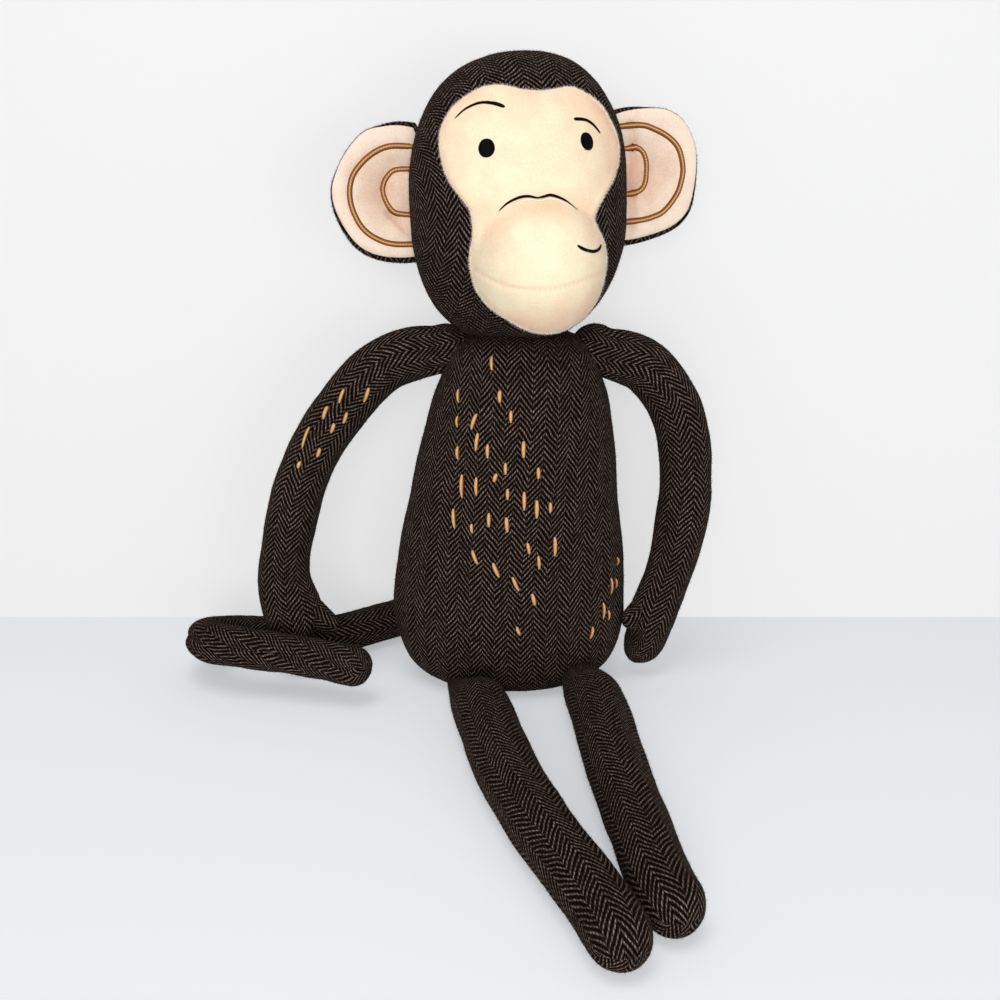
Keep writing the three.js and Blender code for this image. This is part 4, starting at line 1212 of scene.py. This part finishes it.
# A white thread line just under the nose line: a painted highlight on the lower edge of the fold there.
NOSE_FOLD_HIGHLIGHT = [
    (-15, 1.2, 0.3), (-9, 2.9, 0.6), (-4, 2.8, 0.6), (0, 1.9, 0.5), (4, 2.7, 0.7), (8, 2.2, 0.75),
    (14, -1, 0.65), (18.5, -4.4, 0.3),
]
NOSE_LINE = [
    (-22.6, -2.1, 0.3), (-17.3, 2.1, 0.6), (-10.1, 4.7, 0.75), (-5.3, 4.6, 0.7), (-1.7, 3.6, 0.5),
    (2.1, 4.1, 0.7), (5.4, 4.6, 0.8), (13.1, 1.6, 0.6), (20.3, -4.3, 0.25),
]
MOUTH_LINE = [
    (13.6, -20.8, 0.7), (16.2, -22.6, 0.95), (20, -24.2, 0.9), (24.7, -25.1, 0.9), (28.6, -24.2, 0.8),
    (31.2, -22.4, 0.6),
]
black_thread = make_thread(
    "black_thread", colour(2, 2, 3), colour(13, 11, 14), strand=0.05, slant=0.03,
)
# Near-white thread for the painted highlight under the nose line.
highlight_thread = make_thread(
    "highlight_thread", colour(236, 214, 196), colour(255, 250, 244), strand=0.05, slant=0.03,
)
face_faces = BVHTree.FromObject(face, bpy.context.evaluated_depsgraph_get())


def drop_on_face(across, up):
    """A point of the face at a place across and up from the head's middle, and the way it looks."""
    return drop_on(face_faces, head_to_toy([across, -150, up]), head_turn @ np.array([0, 1, 0]))


def embroider(name, places, thread):
    """A sewn line through places across and up, with its half width at each of them."""
    flat = smooth_route(places, 10)
    rows = places_on(flat, np.linspace(0, route_length(flat)[-1], LINE_ROWS))
    landed = [drop_on_face(across, up) for across, up, _ in rows]
    normals = np.array([normal for _, normal in landed])
    half = rows[:, 2] * rounded(np.linspace(-1, 1, LINE_ROWS), LINE_SQUARENESS)
    centres = np.array([place for place, _ in landed]) + normals * LINE_LIFT
    line, ring, side = shape_tube(
        name, LINE_SIDES, centres, directions_of(centres), normals, half, half * LINE_FLATNESS,
    )
    lay_thread(line, ring, side, LINE_SIDES, route_length(centres))
    bpy.ops.object.shade_smooth()
    line.data.materials.append(thread)
    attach(line, "head")
    return line


def embroider_black(name, places):
    line = embroider(name, places, black_thread)
    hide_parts(name)


def make_eye(name, across, up, half_width, half_height):
    middle, normal = drop_on_face(across, up)
    upward = head_turn @ np.array([0, 0, 1.0])
    sideways = np.cross(upward, normal)
    sideways /= np.linalg.norm(sideways)
    upward = np.cross(normal, sideways)
    share = np.linspace(-1, 1, EYE_ROWS)
    round_ends = rounded(share, 2)
    level = toy_to_head(middle + upward * half_height * share[:, None])
    centres = np.array([drop_on_face(place[0], place[2])[0] for place in level]) - normal * EYE_SINK
    eye, ring, side = shape_tube(
        name, EYE_SIDES, centres, np.tile(upward, (EYE_ROWS, 1)), np.tile(normal, (EYE_ROWS, 1)),
        half_width * round_ends, EYE_THICKNESS * round_ends ** 0.7,
    )
    lay_thread(eye, ring, side, EYE_SIDES, route_length(centres))
    bpy.ops.object.shade_smooth()
    eye.data.materials.append(black_thread)
    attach(eye, "head")
    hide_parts(name)


make_eye("right_eye", across=-25.6, up=30.2, half_width=4.5, half_height=5.0)
make_eye("left_eye", across=28.6, up=30.3, half_width=4.4, half_height=4.9)
embroider_black("right_brow", RIGHT_BROW)
embroider_black("left_brow", LEFT_BROW)
embroider("nose_fold_highlight", NOSE_FOLD_HIGHLIGHT, highlight_thread)
embroider_black("nose_line", NOSE_LINE)
embroider_black("mouth_line", MOUTH_LINE)

# Ears. Each has a blush velour front, dished towards its middle, on a slightly larger tweed back
# that shows as a dark rim. Two rings of caramel satin stitch, each with a twisted gold cord along its
# middle, hold the layers together, and the front is creased where it goes into the head.
EAR_OUT_OF_HEAD, EAR_BEHIND, EAR_UP, EAR_CUP = 62.54, 7, 9, 5
EAR_SIDES, EAR_RINGS, EAR_SQUARENESS = 96, 64, 5
EAR_MIDDLE = np.array([16.0, 0.0])
EAR_FRONT, EAR_BACK, EAR_DISH = 3.6, 3.4, 3.2
INNER_VALLEY, RING_PULL, CREASE_DEPTH = 2.4, 0.9, 1.9
RING_REACH, VALLEY_REACH, CREASE_REACH = 2.4, 7, 2
EAR_SHADE_MIDDLE, EAR_SHADE_REACH = (13, 2), 36
VELOUR_WISPS, RIM_WISPS = 9000, 3000
RIGHT_EAR_EDGE = [
    (-6, 36), (3.5, 37.6), (12.6, 37), (22.2, 34.8), (32.9, 25), (39.4, 14.5), (42.7, 5.5),
    (42.6, -3.3), (38.4, -14.8), (31, -25.8), (24, -30.8), (15.3, -33.6), (0, -34.6), (-6, -33),
]
LEFT_EAR_EDGE = [
    (-6, 35), (3, 38), (13.8, 39.4), (26.8, 39), (33.2, 36.4), (38.4, 32.6), (44.8, 21.8), (47, 10.9),
    (45.6, -6.6), (42, -18.8), (34.5, -26.4), (19.5, -32), (2.5, -34.6), (-6, -33),
]
# How far the tweed back stands out beyond the velour, by the turn up and over from straight outwards.
RIM_TURNS = [0, 40, 85, 105, 125, 150, 210, 235, 255, 280, 310, 335, 360]
RIM_WIDTHS = [0.8, 0.2, 0.4, 2.0, 3.4, 3, 3, 4, 3.4, 2.7, 2.2, 1.6, 0.8]
RIGHT_OUTER_RING = [
    (-5, 26.2), (9.3, 26.6), (17.9, 23.6), (25.6, 17.9), (31.1, 11.1), (33.3, 3.9), (33.2, -3.3),
    (31.4, -9.9), (27.9, -16.6), (22.5, -21.8), (12.4, -26.4), (-5, -27.7),
]
RIGHT_INNER_RING = [
    (-5, 14.1), (6.6, 13.7), (10.8, 10.6), (13.3, 6.3), (13.9, 2), (12.9, -1.8), (10.7, -6.3),
    (7.4, -9.4), (-5, -11.5),
]
LEFT_OUTER_RING = [
    (-5, 29.6), (14.5, 30.3), (21.6, 27.9), (28.2, 24.5), (33.7, 19.9), (36.8, 14.8), (38.8, 4.7),
    (37.8, -2.1), (35.5, -8.8), (27.2, -18.9), (21.2, -21.6), (15.1, -23.1), (-5, -24.6),
]
LEFT_INNER_RING = [
    (-5, 17.4), (6.3, 17.8), (11.4, 18.2), (14.6, 16.2), (16.9, 12), (17.6, 4.7), (16.2, -3.6),
    (12.5, -7), (-5, -8.4),
]
RIGHT_CREASE = [(11, -10.5), (4, -17), (-5, -28)]
LEFT_CREASE = [(7, 31), (9, 20), (9.5, 5), (9.5, -7), (9, -18), (7, -35)]
BAND_HALF_WIDTH, BAND_HALF_HEIGHT, BAND_LIFT = 1.8, 0.6, 0.1
CORD_RADIUS, CORD_LIFT, CORD_PITCH, CORD_SWELL = 0.75, 0.55, 1.7, 0.16
RING_ROWS, RING_SIDES, RING_SQUARENESS = 301, 12, 40
blush_velour = make_velour("blush_velour", colour(251, 230, 210), colour(228, 186, 158))
caramel_band = make_thread(
    "caramel_band", colour(104, 54, 22), colour(186, 120, 66), strand=0.05, slant=0.02, sheen=0.05,
)
caramel_cord = make_thread(
    "caramel_cord", colour(132, 74, 34), colour(238, 188, 130), strand=0.17, slant=0.06, sheen=0.05,
)


def ear_loop(edge, grow):
    """An ear's edge as places from its middle, by the turn round it."""
    around, far = far_by_turn(smooth_route(edge + edge[:1], 10)[:-1] - EAR_MIDDLE, EAR_SIDES)
    far = far + grow * np.interp(np.degrees(around), RIM_TURNS, RIM_WIDTHS)
    return np.stack([far * np.cos(around), far * np.sin(around)], axis=1)


def ear_dish(share):
    """How far the ear's middle layer lies back from its edge."""
    return EAR_DISH * (1 - np.clip(share, 0, 1) ** 2)


def nearest(places, curve):
    return np.sqrt(((places[:, None] - curve[None]) ** 2).sum(axis=2)).min(axis=1)


def make_ear(body, toward, edge, outer, inner, crease):
    frame_of_ear = (
        head_frame
        @ Matrix.Translation((toward * EAR_OUT_OF_HEAD, EAR_BEHIND, EAR_UP))
        @ Matrix.Rotation(-toward * math.radians(EAR_CUP), 4, "Z")
        @ Matrix.Rotation(math.atan(CROWN_LEAN / CROWN_RISE), 4, "Y")
    )
    turn, middle = np.array(frame_of_ear.to_3x3()), np.array(frame_of_ear.translation)
    front_edge = ear_loop(edge, 0)
    ring_curves = [smooth_route(places, 16) for places in (outer, inner)]
    crease_curve = smooth_route(crease, 16)

    def ear_to_toy(points):
        return (np.asarray(points) * np.array([toward, 1, 1])) @ turn.T + middle

    def depth_at(places, share, crease_depth):
        """Place of the velour's face behind the ear's plane, drawn in along the sewn rings and crease."""
        depth = ear_dish(share) - EAR_FRONT * rounded(share, EAR_SQUARENESS)
        pull = RING_PULL * hump(np.minimum(*(nearest(places, curve) for curve in ring_curves)), RING_REACH)
        valley = INNER_VALLEY * hump(nearest(places, ring_curves[1]), VALLEY_REACH)
        fold = crease_depth * hump(nearest(places, crease_curve), CREASE_REACH)
        return depth + (pull + valley + fold) * smooth_step(1 - share, 0, 0.12)

    def share_of(places):
        """How far out from the ear's middle each place is, with 1 at the velour's edge."""
        turns = np.arctan2(places[:, 1], places[:, 0] - EAR_MIDDLE[0]) % (2 * math.pi)
        around = 2 * math.pi * np.arange(EAR_SIDES) / EAR_SIDES
        edge_far = np.interp(turns, around, np.hypot(front_edge[:, 0], front_edge[:, 1]), period=2 * math.pi)
        return np.hypot(places[:, 0] - EAR_MIDDLE[0], places[:, 1]) / edge_far

    for layer, loop in (("front", front_edge), ("back", ear_loop(edge, 1))):
        plate, ring, side = start_ball(f"{body}_{layer}", EAR_SIDES, EAR_RINGS)
        share = np.minimum(ring, EAR_RINGS - ring) / (EAR_RINGS / 2)
        share = np.sin(share * math.pi / 2) ** 0.8
        places = EAR_MIDDLE + loop[side] * share[:, None]
        ahead = ring <= EAR_RINGS / 2
        round_edge = rounded(share, EAR_SQUARENESS)
        if layer == "front":
            depth = np.where(ahead, depth_at(places, share, CREASE_DEPTH), ear_dish(share) + INNER_VALLEY + 1)
            depth = np.where(share > 0.999, 0, depth)
            # Painted shade: the velour is painted more peach towards the ear's dished middle and along its
            # crease.
            from_blush = np.hypot(*(places - EAR_SHADE_MIDDLE).T)
            crease_shade = 0.45 * hump(nearest(places, crease_curve), 3)
            add_blush(plate, np.clip(0.85 - from_blush / EAR_SHADE_REACH + crease_shade, 0, 1))
            plate.data.materials.append(blush_velour)
        else:
            depth = ear_dish(share) + np.where(ahead, 0.3, INNER_VALLEY + EAR_BACK) * round_edge + 0.4
            weave = plate.data.uv_layers.new(name="weave")
            for corner in plate.data.loops:
                weave.data[corner.index].uv = places[corner.vertex_index] / 10
            plate.data.materials.append(tweed)
        set_points(plate, ear_to_toy(np.stack([places[:, 0], depth, places[:, 1]], axis=1)))
        turn_outward(plate)
        bpy.ops.object.shade_smooth()
        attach(plate, body)
        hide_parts(f"{body}_{layer}")
        near_edge = favour_edge(share, 0.1)
        if layer == "front":
            add_nap(
                f"{body}_front_nap", plate, body, velour_wisp,
                VELOUR_WISPS, VELOUR_NAP, VELOUR_LIFT, start=81, favour=near_edge,
            )
        else:
            add_nap(
                f"{body}_back_nap", plate, body, tweed_wisp,
                RIM_WISPS, TWEED_NAP, lift=0.5, start=83, favour=near_edge,
            )

    for name, curve in zip(("outer_ring", "inner_ring"), ring_curves):
        steps = np.linspace(0, route_length(curve)[-1], RING_ROWS)
        flat = places_on(curve, steps)
        depth = depth_at(flat, share_of(flat), CREASE_DEPTH / 4)
        round_ends = rounded(np.linspace(-1, 1, RING_ROWS), RING_SQUARENESS)
        front = np.tile(turn @ np.array([0, -1.0, 0]), (RING_ROWS, 1))
        cord = CORD_RADIUS * round_ends * (1 + CORD_SWELL * np.cos(2 * math.pi * steps / CORD_PITCH))
        layers = []
        for finish, lift, wide, high in (
            (caramel_band, BAND_LIFT, BAND_HALF_WIDTH * round_ends, BAND_HALF_HEIGHT * round_ends),
            (caramel_cord, CORD_LIFT, cord, cord),
        ):
            centres = ear_to_toy(np.stack([flat[:, 0], depth - lift, flat[:, 1]], axis=1))
            thread, row, side = shape_tube(
                f"{body}_{name}_{len(layers)}", RING_SIDES, centres, directions_of(centres), front,
                wide, high,
            )
            lay_thread(thread, row, side, RING_SIDES, route_length(centres))
            thread.data.materials.append(finish)
            layers.append(thread)
        ring_piece = join_pieces(f"{body}_{name}", layers)
        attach(ring_piece, body)
        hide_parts(f"{body}_{name}")


make_ear("right_ear", -1, RIGHT_EAR_EDGE, RIGHT_OUTER_RING, RIGHT_INNER_RING, RIGHT_CREASE)
make_ear("left_ear", 1, LEFT_EAR_EDGE, LEFT_OUTER_RING, LEFT_INNER_RING, LEFT_CREASE)

# Studio. A pale floor that runs under the toy and a white wall close behind it, with a large soft
# key lamp beside the camera, a top lamp, a low fill lamp and an even light from all round.
FLOOR_SIZE, FLOOR_DROP = 8, 0.0003
WALL_DISTANCE = 0.086
EVEN_LIGHT = 0.34


def add_plane(name, size, place, turned):
    bpy.ops.object.select_all(action="DESELECT")
    bpy.ops.mesh.primitive_plane_add(size=size, location=place, rotation=turned)
    bpy.ops.object.transform_apply(location=True, rotation=True, scale=True)
    plane = bpy.context.object
    plane.name = plane.data.name = name
    return plane


def paint_plane(plane, name, shade, glow):
    """Plain paint, with a glow that the camera and reflections see but that lights nothing."""
    material, tree, shader = new_material(name, roughness=0.8, shine=0.1)
    shader.inputs["Base Color"].default_value = shade
    shader.inputs["Emission Color"].default_value = shade
    light = tree.nodes.new("ShaderNodeLightPath")
    seen = maths(tree, "MAXIMUM", light.outputs["Is Camera Ray"], light.outputs["Is Glossy Ray"])
    seen = maths(tree, "MAXIMUM", seen, light.outputs["Is Transmission Ray"])
    join(tree, maths(tree, "MULTIPLY", seen, glow), shader.inputs["Emission Strength"])
    plane.data.materials.append(material)
    return tree, shader


floor = add_plane("floor", FLOOR_SIZE, (0, 0, -FLOOR_DROP), (0, 0, 0))
paint_plane(floor, "floor_paint", colour(208, 210, 213), glow=0.6)
wall = add_plane("wall", FLOOR_SIZE, (0, WALL_DISTANCE, 0), (math.radians(90), 0, 0))
wall_tree, wall_shader = paint_plane(wall, "wall_paint", colour(160, 160, 160), glow=1.6)
see_through = wall_tree.nodes.new("ShaderNodeBsdfTransparent")
facing_away = wall_tree.nodes.new("ShaderNodeNewGeometry")
one_sided = wall_tree.nodes.new("ShaderNodeMixShader")
join(wall_tree, facing_away.outputs["Backfacing"], one_sided.inputs[0])
wall_tree.links.new(wall_shader.outputs[0], one_sided.inputs[1])
wall_tree.links.new(see_through.outputs[0], one_sided.inputs[2])
wall_tree.links.new(one_sided.outputs[0], wall_tree.nodes["Material Output"].inputs["Surface"])
wall.visible_shadow = wall.visible_diffuse = wall.visible_glossy = False


def add_lamp(name, place, target, size, power):
    lamp_data = bpy.data.lights.new(name, "AREA")
    lamp_data.size = size
    lamp_data.energy = power
    lamp = bpy.data.objects.new(name, lamp_data)
    lamp.location = place
    lamp.rotation_euler = (Vector(target) - Vector(place)).to_track_quat("-Z", "Y").to_euler()
    bpy.context.scene.collection.objects.link(lamp)


add_lamp("key_lamp", (-0.1, -1.45, 0.4), target=(0, 0, 0.2), size=0.55, power=8.9)
add_lamp("top_lamp", (-0.2, -0.5, 1.5), target=(0, 0, 0.1), size=0.8, power=5.6)
add_lamp("fill_lamp", (0.5, -1.3, 0.1), target=(0, 0, 0.25), size=0.6, power=5.2)
world = bpy.data.worlds.new("even_light")
bpy.context.scene.world = world
world.use_nodes = True
background = world.node_tree.nodes["Background"]
background.inputs["Color"].default_value = (1, 1, 1, 1)
background.inputs["Strength"].default_value = EVEN_LIGHT
